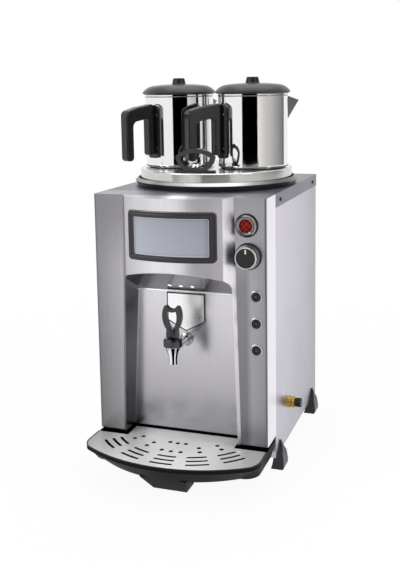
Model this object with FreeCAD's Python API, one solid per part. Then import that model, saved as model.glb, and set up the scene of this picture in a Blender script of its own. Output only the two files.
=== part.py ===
import FreeCAD, Part
import math
import os

from FreeCAD import Vector as V

# A two-pot hot water urn, in millimetres. Everything is drawn from the front plane of the
# fascia's pillars (y = 0, the back is +y), the middle of the cabinet (x = 0) and the floor
# (z = 0), and is moved onto its origin when it is written.

# Cabinet
body_width = 360.0
body_back = 458.0
body_top = 571.0
panel_bottom = 32.0
sheet = 1.2
fascia_depth = 64.0
top_flange = 27.0
fold = 14.0
base_flange = 24.0
front_rail_height = 44.0
vent_count = 5
vent_pitch = 50.0
vent_width = 6.0
vent_length = 100.0
screw_head_r = 4.0
screw_head = 2.2
screw_shank_r = 1.8
screw_length = 6.0
top_screw_inset = 42.0
rail_x = 96.0
rail_width = 40.0
rail_front = 8.0
rail_thick = 1.5

# Back panel: louvres and the cable gland
louvre_count = 7
louvre_length = 90.0
louvre_height = 5.0
louvre_pitch = 16.0
louvre_low = 330.0
gland_x = -120.0
gland_z = 82.0
gland_bore_r = 4.2
gland_r = 8.0
gland_nut_r = 12.5
gland_reach = 20.0
gland_inside = 14.0
gland_hex = 6.0
gland_lock = 5.0

# Fascia
fascia_wall = 2.0
fascia_bottom = 81.0
pillar_corner_r = 5.0
crease_in_top = 65.0
crease_in_low = 54.0
bay_in = 79.5
bay_forward = 26.0
bay_bow = 22.0
alcove_back = 40.0
alcove_top_z = 373.0
alcove_in_top = 77.0
alcove_in_low = 61.5
ceiling_slope = 0.62
wall_flare_top = 0.2
wall_flare_low = 0.0375
alcove_corner_r = 10.0

# Display
bezel_side_gap = 11.0
bezel_height = 96.0
bezel_z = 497.5
bezel_bar = 12.0
bezel_proud = 3.5
bezel_corner_r = 7.0
display_lap = 4.0
fit_gap = 0.3
spot_pitch = 24.0
spot_r = 3.5
spot_back = 28.0

# Controls on the right pillar
switch_in = 40.0
switch_z = 518.4
switch_gasket_r = 23.0
switch_ring_r = 20.5
switch_bore_r = 13.5
switch_proud = 8.0
switch_recess = 5.0
switch_wall = 2.0
switch_nut = 5.0
switch_nut_wall = 6.0
switch_depth = 30.0
switch_cap = 4.0
switch_gasket_thick = 1.5
button_depth = 22.0
dial_in = 36.8
dial_z = 459.0
dial_skirt_r = 25.0
dial_face_r = 21.5
dial_proud = 22.0
dial_shaft_r = 3.0
dial_bush_wall = 2.2
dial_boss_r = 6.5
dial_face_drop = 6.0
thermostat_half = 20.0
thermostat_rise = 18.0
thermostat_front = 8.0
thermostat_rear = 36.0
tab_length = 8.0
tab_half = 3.0
tab_gap = 10.0
tab_thick = 1.2
push_in = 22.0
push_top_z = 380.8
push_pitch = 52.8
push_count = 3
push_r = 9.0
push_ring_r = 12.5
push_proud = 3.0
push_barrel = 1.5
push_depth = 18.0
push_floor = 4.0
push_stem = 14.0

# Tap
tap_y = -37.0
nozzle_bottom = 246.0
nozzle_r = 8.4
nozzle_flare_r = 16.5
nozzle_flare_z = 281.0
bonnet_top = 299.0
bonnet_r = 18.5
shank_z = 273.5
shank_r = 8.0
barrel_r = 8.5
rosette_r = 13.5
flow_r = 5.0
feed_r = 3.5
feed_rise = 2.5
tap_nut_r = 11.8
tap_nut = 6.0
shank_end = 10.0
chamber_r = 11.5
seat_z = 272.0
stem_r = 3.2
pivot_z = 305.0
pivot_r = 1.5
running_gap = 0.05
lever_half = 19.8
lever_neck_half = 11.5
lever_depth = 10.0
lever_heel = 7.0
lever_top = 361.5
lever_neck_top = 314.0
shield_half = 39.3
shield_top = 367.5
shield_side_low = 312.6
shield_point = 291.7
shield_thick = 2.5

# Tank and lid, all round one vertical axis
tank_y = 246.0
tank_r = 150.0
tank_bottom = 258.0
tank_wall = 1.2
tank_corner = 4.0
tank_flange = 18.0
collar_hold = 12.0
collar_out = 4.5
collar_belly = 5.5
collar_belly_up = 6.8
collar_mouth_in = 1.0
collar_lip_up = 13.3
collar_floor_up = 2.8
collar_sheet = 1.4
gasket_thick = 2.0
lid_gap = 5.5
lid_height = 29.2
lid_shoulder_r = 2.6
jacket_thick = 10.0
jacket_top = 548.0
jacket_hole = 8.0
jacket_foot = 8.0
mouth_gap = 3.0

# Lid handle
loop_forward = 135.0
loop_half = 42.0
loop_height = 49.0
loop_bar = 9.4
loop_depth = 11.0
loop_foot = 23.0
loop_pad = 4.0
loop_nut_r = 9.0
loop_stud_r = 5.0

# Teapots
pot_lid_gap = 6.6
pot_r = 75.0
pot_wall = 1.2
pot_foot_r = 7.0
pot_height = 157.0
pot_lid_r = 81.0
pot_lid_wall = 1.6
pot_brim_rise = 3.2
pot_brim_edge = 1.4
pot_plug_gap = 1.3
pot_plug_depth = 8.0
pot_dome_rise = 17.5
pot_knob_r = 15.3
pot_knob_top_r = 12.8
pot_knob_rise = 13.5
handle_left_turn = -115.6
handle_right_turn = -131.9
grip_out = 77.0
grip_depth = 20.0
grip_width = 22.0
grip_up = 20.2
arm_out_up = 124.2
arm_in_up = 139.2
arm_height = 23.0
mount_up = 22.2
mount_half = 15.0
mount_thick = 5.0
mount_web_half = 5.0
block_up = 29.2
block_in = 11.0
block_out = 24.0
block_half = 10.0
handle_edge_r = 3.0
spout_out = 46.0
spout_half = 20.0
spout_drop = 3.0
spout_height = 84.0
spout_tip_drop = 15.5

# Drip tray
tray_top = 76.4
tray_bottom = 40.0
tray_back = 52.0
tray_side_front = -46.0
tray_corner_in = 12.0
tray_corner_front = -86.0
tray_front = -137.0
tray_inset = 27.0
tray_lip = 6.0
tray_wall = 2.5
tray_rib_x = 60.0
tray_rib_run = 60.0
tray_rib_thick = 2.4
tongue_half_top = 48.0
tongue_half_low = 35.0
tongue_top_front = -108.0
tongue_low_front = -69.0
tongue_low_back = -30.0
plate_thick = 1.4
plate_gap = 5.0
plate_notch = 11.0
fan_y = 73.0
fan_angles = (-43.5, -21.5, 0.0, 21.5, 43.5)
fan_rows = 3
slot_row_r = 157.0
slot_row_pitch = 16.5
slot_span = 12.3
slot_width = 6.0
hole_r = 4.5
hole_outer_r = 134.0
hole_inner_r = 115.0
hole_near_r = 95.0
pair_angles = (-43.5, -24.5, 24.5, 43.5)
outer_three = 8.5
near_three = 10.0

# Feet
foot_front_y = 100.0
foot_rear_y = 415.0
foot_out = 11.0
foot_width = 27.0
foot_half_length = 20.0
foot_waist = 16.0
foot_sole = 13.0
foot_tip_z = 56.0
foot_tip = 2.8
foot_reach = 30.0

# Drain valve
drain_y = 186.0
drain_z = 107.0
drain_bore_x = 90.0
drain_pipe_r = 7.0
drain_flange_r = 12.5
drain_neck_r = 10.5
drain_cap_r = 9.5
drain_reach = 25.0
drain_bend_r = 20.0
drain_way_r = 4.0
drain_inside = 16.0
drain_neck_out = 8.0
drain_washer = 4.0
drain_nut = 6.0
drain_end = 11.0
drain_socket = 8.0
drain_flutes = 12

# Tank fittings
element_x = -40.0
element_z = 288.0
element_r = 4.5
element_bend_r = 16.0
element_run = 110.0
element_flange_r = 30.0
limit_r = 11.0
limit_up = 120.0
limit_depth = 8.0
limit_room = 20.0
terminal_back = 110.0
terminal_length = 60.0
terminal_depth = 22.0
terminal_height = 18.0
terminal_pitch = 11.0
terminal_ways = 5
terminal_hole_r = 3.0

half = body_width / 2
side_face = half - sheet
side_inner = side_face - sheet
flange_z = body_top - sheet
crease_half_top = half - crease_in_top
crease_half_low = half - crease_in_low
bay_half = half - bay_in
alcove_half_top = half - alcove_in_top
alcove_half_low = half - alcove_in_low
bezel_width = 2 * (bay_half - bezel_side_gap)
switch_x = half - switch_in
dial_x = half - dial_in
push_x = half - push_in
tray_half = half
tray_corner_half = half - tray_corner_in
bow_r = (bay_half**2 + bay_bow**2) / (2 * bay_bow)
bow_centre_y = bow_r - bay_forward - bay_bow
tank_top = body_top + sheet
gasket_top = tank_top + gasket_thick
tank_flange_r = tank_r + tank_flange
collar_bore_r = tank_flange_r - collar_hold
collar_r = tank_flange_r + collar_out
collar_belly_r = collar_r + collar_belly
collar_belly_z = gasket_top + collar_belly_up
collar_mouth_r = collar_r - collar_mouth_in
collar_lip_z = gasket_top + collar_lip_up
collar_floor = gasket_top + collar_floor_up
lid_r = collar_mouth_r - lid_gap
lid_top = collar_floor + fit_gap + lid_height
lid_guide_z = gasket_top + fit_gap
loop_y = tank_y - loop_forward
pot_pitch = 2 * pot_lid_r + pot_lid_gap
bezel_inner_width = bezel_width - 2 * bezel_bar
bezel_inner_height = bezel_height - 2 * bezel_bar * 0.92
pot_foot_z = lid_top + fit_gap
pot_rim_z = pot_foot_z + pot_height
pot_brim_z = pot_rim_z + fit_gap + pot_brim_rise
pot_dome_z = pot_brim_z + pot_brim_edge + pot_dome_rise
pot_knob_z = pot_dome_z + pot_knob_rise
grip_reach = pot_r + grip_out
grip_low = pot_foot_z + grip_up
arm_top_out = pot_foot_z + arm_out_up
arm_top_in = pot_foot_z + arm_in_up
mount_low = pot_foot_z + mount_up
block_low = pot_foot_z + block_up
spout_reach = pot_r + spout_out
spout_low = pot_rim_z - spout_drop - spout_height
spout_tip_z = pot_rim_z - spout_tip_drop
origin_x = (drain_reach - foot_out) / 2
origin_y = (body_back + gland_reach + tray_front) / 2


def box(x0, x1, y0, y1, z0, z1):
    return Part.makeBox(x1 - x0, y1 - y0, z1 - z0, V(x0, y0, z0))


def rod(r, start, end):
    run = end.sub(start)
    return Part.makeCylinder(r, run.Length, start, run)


def tube(outer, inner, start, end):
    return rod(outer, start, end).cut(rod(inner, start, end))


def face_of(edges):
    return Part.Face(Part.Wire(edges))


def polygon(points):
    return Part.Face(Part.makePolygon(points + [points[0]]))


def line(a, b):
    return Part.LineSegment(a, b).toShape()


def arc(a, middle, b):
    return Part.Arc(a, middle, b).toShape()


def spun(profile, x, y, axis=V(0, 0, 1), z=0):
    """Turn a closed (radius, height) outline about a line through (x, y, z) along axis."""
    face = polygon([V(r, 0, h) for r, h in profile])
    solid = face.revolve(V(0, 0, 0), V(0, 0, 1), 360)
    solid.Placement = FreeCAD.Placement(V(x, y, z), FreeCAD.Rotation(V(0, 0, 1), axis))
    return solid


def rounded_xz(width, height, r, x, z, y):
    """A rounded rectangle face in the plane y, centred at (x, z)."""
    w, h, k = width / 2, height / 2, math.sqrt(0.5)
    corners = [(1, 1), (-1, 1), (-1, -1), (1, -1)]
    edges = []
    last = V(x + w, y, z - h + r)
    for i, (sx, sz) in enumerate(corners):
        cx, cz = x + sx * (w - r), z + sz * (h - r)
        on_side = V(x + sx * w, y, cz)
        on_end = V(cx, y, z + sz * h)
        a, b = (on_side, on_end) if i % 2 == 0 else (on_end, on_side)
        edges.append(line(last, a))
        edges.append(arc(a, V(cx + sx * r * k, y, cz + sz * r * k), b))
        last = b
    return face_of(edges)


def rounded_outline(corners, place):
    """A closed wire through (a, b, r) corners, each rounded to its radius; place(a, b) gives the point."""
    count = len(corners)
    ends = []
    for i in range(count):
        a, b, r = corners[i]
        here = V(a, b, 0)
        to_last = V(corners[i - 1][0], corners[i - 1][1], 0).sub(here).normalize()
        to_next = V(corners[(i + 1) % count][0], corners[(i + 1) % count][1], 0).sub(here).normalize()
        if r == 0:
            ends.append((here, None, here))
            continue
        half_angle = to_last.getAngle(to_next) / 2
        cut = r / math.tan(half_angle)
        middle = here + (to_last + to_next).normalize() * (r / math.sin(half_angle) - r)
        ends.append((here + to_last * cut, middle, here + to_next * cut))
    edges = []
    for i in range(count):
        first, middle, last = ends[i]
        if middle is not None:
            edges.append(arc(place(first.x, first.y), place(middle.x, middle.y), place(last.x, last.y)))
        after = ends[(i + 1) % count][0]
        if last.distanceToPoint(after) > 1e-6:
            edges.append(line(place(last.x, last.y), place(after.x, after.y)))
    return Part.Wire(edges)


def edges_at(shape, test):
    """The edges whose both ends and middle pass a test of their points."""
    chosen = []
    for e in shape.Edges:
        first, last = e.ParameterRange
        if all(test(e.valueAt(first + (last - first) * t)) for t in (0.0, 0.3, 0.7, 1.0)):
            chosen.append(e)
    return chosen


def mirrored(shape):
    return shape.mirror(V(0, 0, 0), V(1, 0, 0))


def turned(shape, degrees, x, y):
    moved = shape.copy()
    moved.rotate(V(0, 0, 0), V(0, 0, 1), degrees)
    moved.translate(V(x, y, 0))
    return moved


# Cabinet panels

def side_panel():
    """The right side: one sheet with a fold at the front and one at the back."""
    z0, z1 = panel_bottom, flange_z
    back = body_back - sheet
    skin = box(side_inner, side_face, fascia_depth, back, z0, z1)
    front_fold = box(side_face - fold, side_face, fascia_depth, fascia_depth + sheet, z0, z1)
    back_fold = box(side_face - fold, side_face, back - sheet, back, z0, z1)
    return skin.fuse([front_fold, back_fold]).removeSplitter().cut(screw_holes())


def side_panel_right():
    hole = rod(drain_neck_r + fit_gap, V(side_face - fold, drain_y, drain_z), V(half, drain_y, drain_z))
    return side_panel().cut(hole)


def side_panel_left():
    return mirrored(side_panel())


def back_panel():
    plate = box(-side_face, side_face, body_back - sheet, body_back, panel_bottom, flange_z)
    cuts = [rod(gland_r + fit_gap, V(gland_x, body_back - fold, gland_z), V(gland_x, body_back + 1, gland_z))]
    for i in range(louvre_count):
        z = louvre_low + i * louvre_pitch
        for x in (-side_face / 2, side_face / 2):
            cuts.append(
                rounded_xz(louvre_length, louvre_height, louvre_height * 0.48, x, z, body_back - fold)
                .extrude(V(0, 2 * fold, 0))
            )
    return plate.cut(cuts + screw_holes())


def top_panel():
    plate = box(-half, half, fascia_depth, body_back, flange_z, body_top)
    lip = box(side_face, half, fascia_depth, body_back, body_top - top_flange, body_top)
    mouth = rod(tank_r + mouth_gap, V(0, tank_y, flange_z - 1), V(0, tank_y, body_top + 1))
    return plate.fuse([lip, mirrored(lip)]).removeSplitter().cut([mouth] + screw_holes())


def base_pan():
    """The floor with its upturned edges, and two rails that carry the drip tray."""
    front = fascia_depth + sheet
    back = body_back - 2 * sheet
    z0 = panel_bottom
    floor = box(-side_inner, side_inner, front, back, z0, z0 + sheet)
    rail = box(-side_inner, side_inner, front, front + sheet, z0, z0 + front_rail_height)
    rear = box(-side_inner, side_inner, back - sheet, back, z0, z0 + base_flange)
    wing = box(side_inner - sheet, side_inner, front, back, z0, z0 + base_flange)
    carry_z = tray_bottom - fit_gap
    carry = box(rail_x, rail_x + rail_width, rail_front, front + sheet, carry_z - rail_thick, carry_z)
    pan = floor.fuse([rail, rear, wing, mirrored(wing), carry, mirrored(carry)]).removeSplitter()
    vents = []
    for i in range(vent_count):
        x = (i - (vent_count - 1) / 2) * vent_pitch
        y = tank_y - vent_length / 2
        vents.append(box(x - vent_width / 2, x + vent_width / 2, y, y + vent_length, z0 - 1, z0 + sheet + 1))
    return pan.cut(vents + screw_holes())


def side_screws():
    """Where the top cover's screws sit, with the way their heads face."""
    z = body_top - top_flange * 0.55
    places = []
    for y in (fascia_depth + top_screw_inset, body_back - top_screw_inset):
        places.append((V(half, y, z), V(1, 0, 0)))
        places.append((V(-half, y, z), V(-1, 0, 0)))
    return places


def rear_screws():
    places = []
    low = panel_bottom + fold
    high = flange_z - fold
    for z in (low, (low + high) / 2, high):
        for x in (-side_face + fold / 2, side_face - fold / 2):
            places.append((V(x, body_back, z), V(0, 1, 0)))
    return places


def screw_holes():
    return [rod(screw_shank_r, at - out * fold, at + out) for at, out in side_screws() + rear_screws()]


def screw(at, out):
    """A pan head on the skin with its shank through it."""
    head = rod(screw_head_r, at, at + out * screw_head)
    head = head.makeFillet(screw_head * 0.6, [outer_edge(head, at + out * screw_head)])
    shank = rod(screw_shank_r, at - out * screw_length, at)
    return head.fuse(shank)


def outer_edge(shape, at):
    """The round edge of a disc that lies nearest to a point on its axis."""
    rounds = [e for e in shape.Edges if isinstance(e.Curve, Part.Circle)]
    return min(rounds, key=lambda e: e.Curve.Center.distanceToPoint(at))


def cabinet_screws():
    return Part.makeCompound([screw(at, out) for at, out in side_screws() + rear_screws()])


# Fascia and what it carries

def fascia_section(z, inset):
    """The plan outline at height z, moved inwards by inset all along the front."""
    share = (z - fascia_bottom) / (body_top - fascia_bottom)
    crease = crease_half_low + (crease_half_top - crease_half_low) * share
    run = math.hypot(crease - bay_half, bay_forward)
    nx, ny = -bay_forward / run, (crease - bay_half) / run
    # the chamfer's line moved inwards, met with the pillar's plane and with the bow
    px, py = bay_half + nx * inset, -bay_forward + ny * inset
    dx, dy = (crease - bay_half) / run, bay_forward / run
    crease_x = px + dx * (inset - py) / dy
    r = bow_r - inset
    b = px * dx + (py - bow_centre_y) * dy
    c = px**2 + (py - bow_centre_y) ** 2 - r**2
    spread = math.sqrt(b * b - c)
    t = min(-b - spread, -b + spread, key=abs)
    bay_x, bay_y = px + dx * t, py + dy * t
    w, cr = half - inset, pillar_corner_r - inset
    cx, cy = half - pillar_corner_r, pillar_corner_r
    k = cr * math.sqrt(0.5)
    back = fascia_depth + (1 if inset else 0)
    right = [V(w, back, z), V(w, cy, z), V(cx, inset, z), V(crease_x, inset, z), V(bay_x, bay_y, z)]
    left = [V(-p.x, p.y, z) for p in right]
    return Part.Wire([
        line(right[0], right[1]),
        arc(right[1], V(cx + k, cy - k, z), right[2]),
        line(right[2], right[3]),
        line(right[3], right[4]),
        arc(right[4], V(0, bow_centre_y - r, z), left[4]),
        line(left[4], left[3]),
        line(left[3], left[2]),
        arc(left[2], V(-cx - k, cy - k, z), left[1]),
        line(left[1], left[0]),
        line(left[0], right[0]),
    ])


def fascia_block(z0, z1, inset):
    return Part.makeLoft([fascia_section(z0, inset), fascia_section(z1, inset)], True, True)


def alcove_section(y, grow, z_low):
    """The alcove's outline in the plane y: upright sides, rounded upper corners, flat ceiling."""
    low = alcove_half_low + (alcove_back - y) * wall_flare_low + grow
    high = alcove_half_top + (alcove_back - y) * wall_flare_top + grow
    z = alcove_top_z + (alcove_back - y) * ceiling_slope + grow
    r = alcove_corner_r + grow
    k = r * (1 - math.sqrt(0.5))
    right = [V(low, y, z_low), V(high, y, z - r), V(high - r, y, z)]
    left = [V(-p.x, y, p.z) for p in right]
    return Part.Wire([
        line(left[0], right[0]),
        line(right[0], right[1]),
        arc(right[1], V(high - k, y, z - k), right[2]),
        line(right[2], left[2]),
        arc(left[2], V(-high + k, y, z - k), left[1]),
        line(left[1], left[0]),
    ])


def alcove_block(grow, z_low, back):
    front = -bay_forward - bay_bow - 12
    return Part.makeLoft([alcove_section(back, grow, z_low), alcove_section(front, grow, z_low)], True, True)


def fascia():
    shell = fascia_block(fascia_bottom, body_top, 0)
    shell = shell.cut(fascia_block(fascia_bottom - 1, body_top - fascia_wall, fascia_wall))
    fold_in = box(side_face - fold, half, fascia_depth - fascia_wall, fascia_depth, fascia_bottom, body_top)
    shell = shell.fuse([fold_in, mirrored(fold_in)])
    shell = shell.cut(alcove_block(0, fascia_bottom - 1, alcove_back))
    reach = bay_forward + bay_bow + 10
    window = rounded_xz(bezel_inner_width + 2 * display_lap + 2 * fit_gap,
                        bezel_inner_height + 2 * display_lap + 2 * fit_gap,
                        bezel_corner_r, 0, bezel_z, -reach).extrude(V(0, reach, 0))
    holes = [window]
    places = [(push_r, push_x, z) for z in push_heights()]
    places.append((switch_bore_r + switch_wall, switch_x, switch_z))
    places.append((dial_shaft_r + dial_bush_wall, dial_x, dial_z))
    for r, x, z in places:
        holes.append(rod(r + fit_gap, V(x, -1, z), V(x, fascia_wall + 1, z)))
    return shell.cut(holes)


def alcove_liner():
    skin = alcove_block(sheet, fascia_bottom, alcove_back + sheet)
    skin = skin.cut(alcove_block(0, fascia_bottom - 1, alcove_back))
    inside = fascia_block(fascia_bottom, body_top - fascia_wall, fascia_wall)
    skin = skin.common(inside)
    hole = rod(shank_r + fit_gap, V(0, alcove_back - 1, shank_z), V(0, alcove_back + sheet + 1, shank_z))
    lamps = [spot(x, 1) for x in spot_places()]
    return skin.cut([hole] + lamps)


def spot_places():
    return [-spot_pitch, 0, spot_pitch]


def bow_shell(inner, outer):
    """What lies between two offsets of the bow, over the height of the bay."""
    z0, z1 = alcove_top_z, body_top
    big = rod(bow_r + outer, V(0, bow_centre_y, z0), V(0, bow_centre_y, z1))
    return big.cut(rod(bow_r + inner, V(0, bow_centre_y, z0), V(0, bow_centre_y, z1)))


def across_bow(width, height, r):
    reach = bay_forward + bay_bow + 20
    return rounded_xz(width, height, r, 0, bezel_z, -reach).extrude(V(0, reach, 0))


def display_bezel():
    frame = across_bow(bezel_width, bezel_height, bezel_corner_r)
    inner = across_bow(bezel_inner_width, bezel_inner_height, bezel_corner_r / 2)
    return frame.cut(inner).common(bow_shell(0, bezel_proud))


def display_panel():
    glass = across_bow(bezel_inner_width + 2 * display_lap, bezel_inner_height + 2 * display_lap,
                       bezel_corner_r - fit_gap)
    return glass.common(bow_shell(-fascia_wall, 0))


def spot(x, proud):
    """A lamp lens let into the sloping ceiling, square to it."""
    y = alcove_back - spot_back
    z = alcove_top_z + spot_back * ceiling_slope
    n = V(0, ceiling_slope, 1).normalize()
    at = V(x, y, z)
    return rod(spot_r, at - n * proud, at + n * (sheet + 5))


def lamp_lenses():
    return Part.makeCompound([spot(x, 1).cut(spot_core(x)) for x in spot_places()])


def spot_core(x):
    y = alcove_back - spot_back
    z = alcove_top_z + spot_back * ceiling_slope
    n = V(0, ceiling_slope, 1).normalize()
    at = V(x, y, z)
    return rod(spot_r - 1.5, at + n * (sheet + 1), at + n * (sheet + 6))


def shield_plate():
    y1 = alcove_back
    outline = [V(-shield_half, y1, shield_top), V(shield_half, y1, shield_top),
               V(shield_half, y1, shield_side_low), V(0, y1, shield_point),
               V(-shield_half, y1, shield_side_low)]
    return polygon(outline).extrude(V(0, -shield_thick, 0))


def push_heights():
    return [push_top_z - i * push_pitch for i in range(push_count)]


def switch_gasket():
    front, back = V(switch_x, -switch_gasket_thick, switch_z), V(switch_x, 0, switch_z)
    return tube(switch_gasket_r, switch_bore_r + switch_wall + fit_gap, front, back)


def switch_housing():
    """A turned ring that stands off the pillar, with its barrel and nut behind it."""
    r0, r1, foot, top = switch_bore_r, switch_ring_r, switch_gasket_thick, switch_proud
    ring = spun([
        (r0, foot), (r1, foot), (r1, top - 2.5), (r1 - 2.5, top), (r1 - 4, top), (r0, top - 2),
    ], switch_x, 0, V(0, -1, 0), switch_z)
    outer = r0 + switch_wall
    front = V(switch_x, -switch_wall, switch_z)
    back = V(switch_x, switch_depth, switch_z)
    barrel = tube(outer, r0, front, back)
    cap = rod(outer, back, back + V(0, switch_cap, 0))
    seat = V(switch_x, fascia_wall, switch_z)
    nut = tube(r0 + switch_nut_wall, r0 + 1, seat, seat + V(0, switch_nut, 0))
    return ring.fuse([barrel, cap, nut]).removeSplitter()


def power_button():
    front = switch_proud - switch_recess
    r = switch_bore_r - fit_gap
    back = -button_depth
    return spun([
        (0, back), (r, back), (r, front - 1.2), (r - 1.2, front), (r - 5, front + 0.6), (0, front + 0.8),
    ], switch_x, 0, V(0, -1, 0), switch_z)


def thermostat_body():
    w, h, y0, y1 = thermostat_half, thermostat_rise, thermostat_front, thermostat_rear
    case = box(dial_x - w, dial_x + w, y0, y1, dial_z - h, dial_z + h)
    plate = box(dial_x - w, dial_x + w, fascia_wall, y0, dial_z - h / 2, dial_z + h / 2)
    bush = rod(dial_shaft_r + dial_bush_wall, V(dial_x, -thermostat_front / 2, dial_z), V(dial_x, y0, dial_z))
    bore = rod(dial_shaft_r + running_gap, V(dial_x, -y0, dial_z), V(dial_x, y1 - dial_face_drop, dial_z))
    tabs = []
    low, high = dial_z - tab_thick / 2, dial_z + tab_thick / 2
    for x in (dial_x - tab_gap, dial_x + tab_gap):
        tabs.append(box(x - tab_half, x + tab_half, y1, y1 + tab_length, low, high))
    return case.fuse([plate, bush] + tabs).removeSplitter().cut(bore)


def thermostat_shaft():
    front = V(dial_x, dial_face_drop - dial_proud, dial_z)
    return rod(dial_shaft_r, front, V(dial_x, thermostat_rear - dial_face_drop - 1, dial_z))


def thermostat_knob():
    """A skirted knob: wide at the fascia, with a waist and a flat face."""
    p, s, f, d = dial_proud, dial_skirt_r, dial_face_r, dial_face_drop
    body = spun([
        (8, 0.8), (s, 0.8), (s, 3), (s - 2, 5), (f + 1, 8), (f, p - 5), (f - 2.5, p - 5),
        (f - 2.5, p - 0.5), (0, p - 0.5), (0, p - d), (8, p - d),
    ], dial_x, 0, V(0, -1, 0), dial_z)
    boss = tube(dial_boss_r, dial_shaft_r, V(dial_x, d - p, dial_z), V(dial_x, -thermostat_front / 2, dial_z))
    return body.fuse(boss).removeSplitter().cut(thermostat_shaft())


def knob_rim():
    p, f = dial_proud, dial_face_r
    return spun([(f - 2.5, p - 5), (f, p - 5), (f, p - 1), (f - 1, p), (f - 2.5, p)],
                dial_x, 0, V(0, -1, 0), dial_z)


def knob_pointer():
    y = -dial_proud + 0.5
    return rounded_xz(2.6, 9, 1.2, dial_x, dial_z + dial_face_r - 9, y).extrude(V(0, -0.8, 0))


def push_ring(z):
    inner, r, p = push_r + fit_gap, push_ring_r, push_proud
    ring = spun([
        (inner, 0), (r, 0), (r, p - 1.5), (r - 1.5, p - 0.5), (inner, p - 0.5),
    ], push_x, 0, V(0, -1, 0), z)
    back = V(push_x, push_depth, z)
    barrel = tube(inner + push_barrel, inner, V(push_x, fascia_wall, z), back)
    floor = rod(inner + push_barrel, back, back + V(0, push_floor, 0))
    return Part.makeCompound([ring, barrel.fuse(floor).removeSplitter()])


def button_rings():
    return Part.makeCompound([s for z in push_heights() for s in push_ring(z).Solids])


def push_button(z):
    r, p = push_r, push_proud
    back = -push_stem
    return spun([
        (0, back), (r, back), (r, p - 1), (r - 1, p), (r / 2, p - 0.4), (0, p - 0.8),
    ], push_x, 0, V(0, -1, 0), z)


# Tap

def tap_body():
    """Flared nozzle under a cup, carried on a shank that runs back through the wall into the tank."""
    top = bonnet_top - 14
    outline = [
        V(nozzle_r, 0, nozzle_bottom),
        V(nozzle_flare_r, 0, nozzle_flare_z),
    ]
    flare = arc(outline[0], V(nozzle_r + 2.2, 0, (nozzle_bottom + nozzle_flare_z) / 2 + 3), outline[1])
    neck = V(nozzle_flare_r, 0, top)
    skin = face_of([
        flare, line(outline[1], neck), line(neck, V(0, 0, top)),
        line(V(0, 0, top), V(0, 0, nozzle_bottom)), line(V(0, 0, nozzle_bottom), outline[0]),
    ]).revolve(V(0, 0, 0), V(0, 0, 1), 360)
    skin.translate(V(0, tap_y, 0))
    barrel = rod(barrel_r, V(0, tap_y, shank_z), V(0, alcove_back - 6, shank_z))
    shank = rod(shank_r, V(0, alcove_back - 6, shank_z), V(0, tank_y - tank_r + shank_end, shank_z))
    solid = skin.fuse([barrel, shank]).removeSplitter()
    drop = rod(flow_r, V(0, tap_y, nozzle_bottom - 1), V(0, tap_y, seat_z + 1))
    cup = rod(chamber_r, V(0, tap_y, seat_z), V(0, tap_y, top + 1))
    feed_z = shank_z + feed_rise
    feed = rod(feed_r, V(0, tap_y + chamber_r * 0.5, feed_z), V(0, tank_y - tank_r + shank_end + 1, feed_z))
    return solid.cut([drop, cup, feed])


def tap_rosette():
    out = V(0, -1, 0)
    return spun([(shank_r, -alcove_back), (rosette_r, -alcove_back), (rosette_r, -alcove_back + 4),
                 (barrel_r + 0.5, -alcove_back + 6), (shank_r, -alcove_back + 6)],
                0, 0, out, shank_z)


def hexagon(r, x, y, z, depth):
    """A hexagonal prism along y."""
    corners = [math.radians(60 * i) for i in range(6)]
    return polygon([V(x + r * math.cos(c), y, z + r * math.sin(c)) for c in corners]).extrude(V(0, depth, 0))


def tap_nuts():
    """The nut behind the liner and the one that bears on the tank's inside."""
    inner_wall = tank_y - math.sqrt((tank_r - tank_wall) ** 2 - tap_nut_r**2)
    nuts = []
    for y in (alcove_back + sheet, inner_wall):
        nut = hexagon(tap_nut_r, 0, y, shank_z, tap_nut)
        nuts.append(nut.cut(rod(shank_r, V(0, y - 1, shank_z), V(0, y + tap_nut + 1, shank_z))))
    return Part.makeCompound(nuts)


def tap_bonnet():
    low, top, r = bonnet_top - 14, bonnet_top, bonnet_r
    cap = spun([
        (nozzle_flare_r, low - 3), (r, low - 3), (r, top - 5), (r - 3, top - 1.5), (8, top),
        (stem_r + running_gap, top), (stem_r + running_gap, top - 5), (chamber_r, top - 5), (chamber_r, low),
        (nozzle_flare_r, low),
    ], 0, tap_y)
    return cap


def tap_stem():
    """The rod that lifts the seat cup, with a flat head that the lever's pin goes through."""
    rod_part = rod(stem_r, V(0, tap_y, seat_z + 6), V(0, tap_y, pivot_z + 4))
    eye = rod(pivot_r + running_gap, V(-10, tap_y, pivot_z), V(10, tap_y, pivot_z))
    return rod_part.cut(eye)


def seat_cup():
    z, r = seat_z, flow_r + 3
    return spun([
        (0, z), (r - 1, z), (r, z + 1.5), (r, z + 8), (stem_r, z + 8), (stem_r, z + 6), (0, z + 6),
    ], 0, tap_y)


def tap_spring():
    """Close coils between the seat cup and the bonnet's roof."""
    z0, z1 = seat_z + 8.0, bonnet_top - 5.0
    wire, r, turns = 0.6, 5.6, 4
    pitch = (z1 - z0 - 2 * wire) / turns
    helix = Part.makeHelix(pitch, pitch * turns, r)
    start = Part.Wire(Part.makeCircle(wire, V(r, 0, 0), V(0, 1, pitch / (2 * math.pi * r))))
    coil = Part.Wire(helix.Edges).makePipeShell([start], True, True)
    coil.translate(V(0, tap_y, z0 + wire))
    return coil


def lever_pin():
    reach = lever_neck_half - 2
    return rod(pivot_r, V(-reach, tap_y, pivot_z), V(reach, tap_y, pivot_z))


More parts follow.
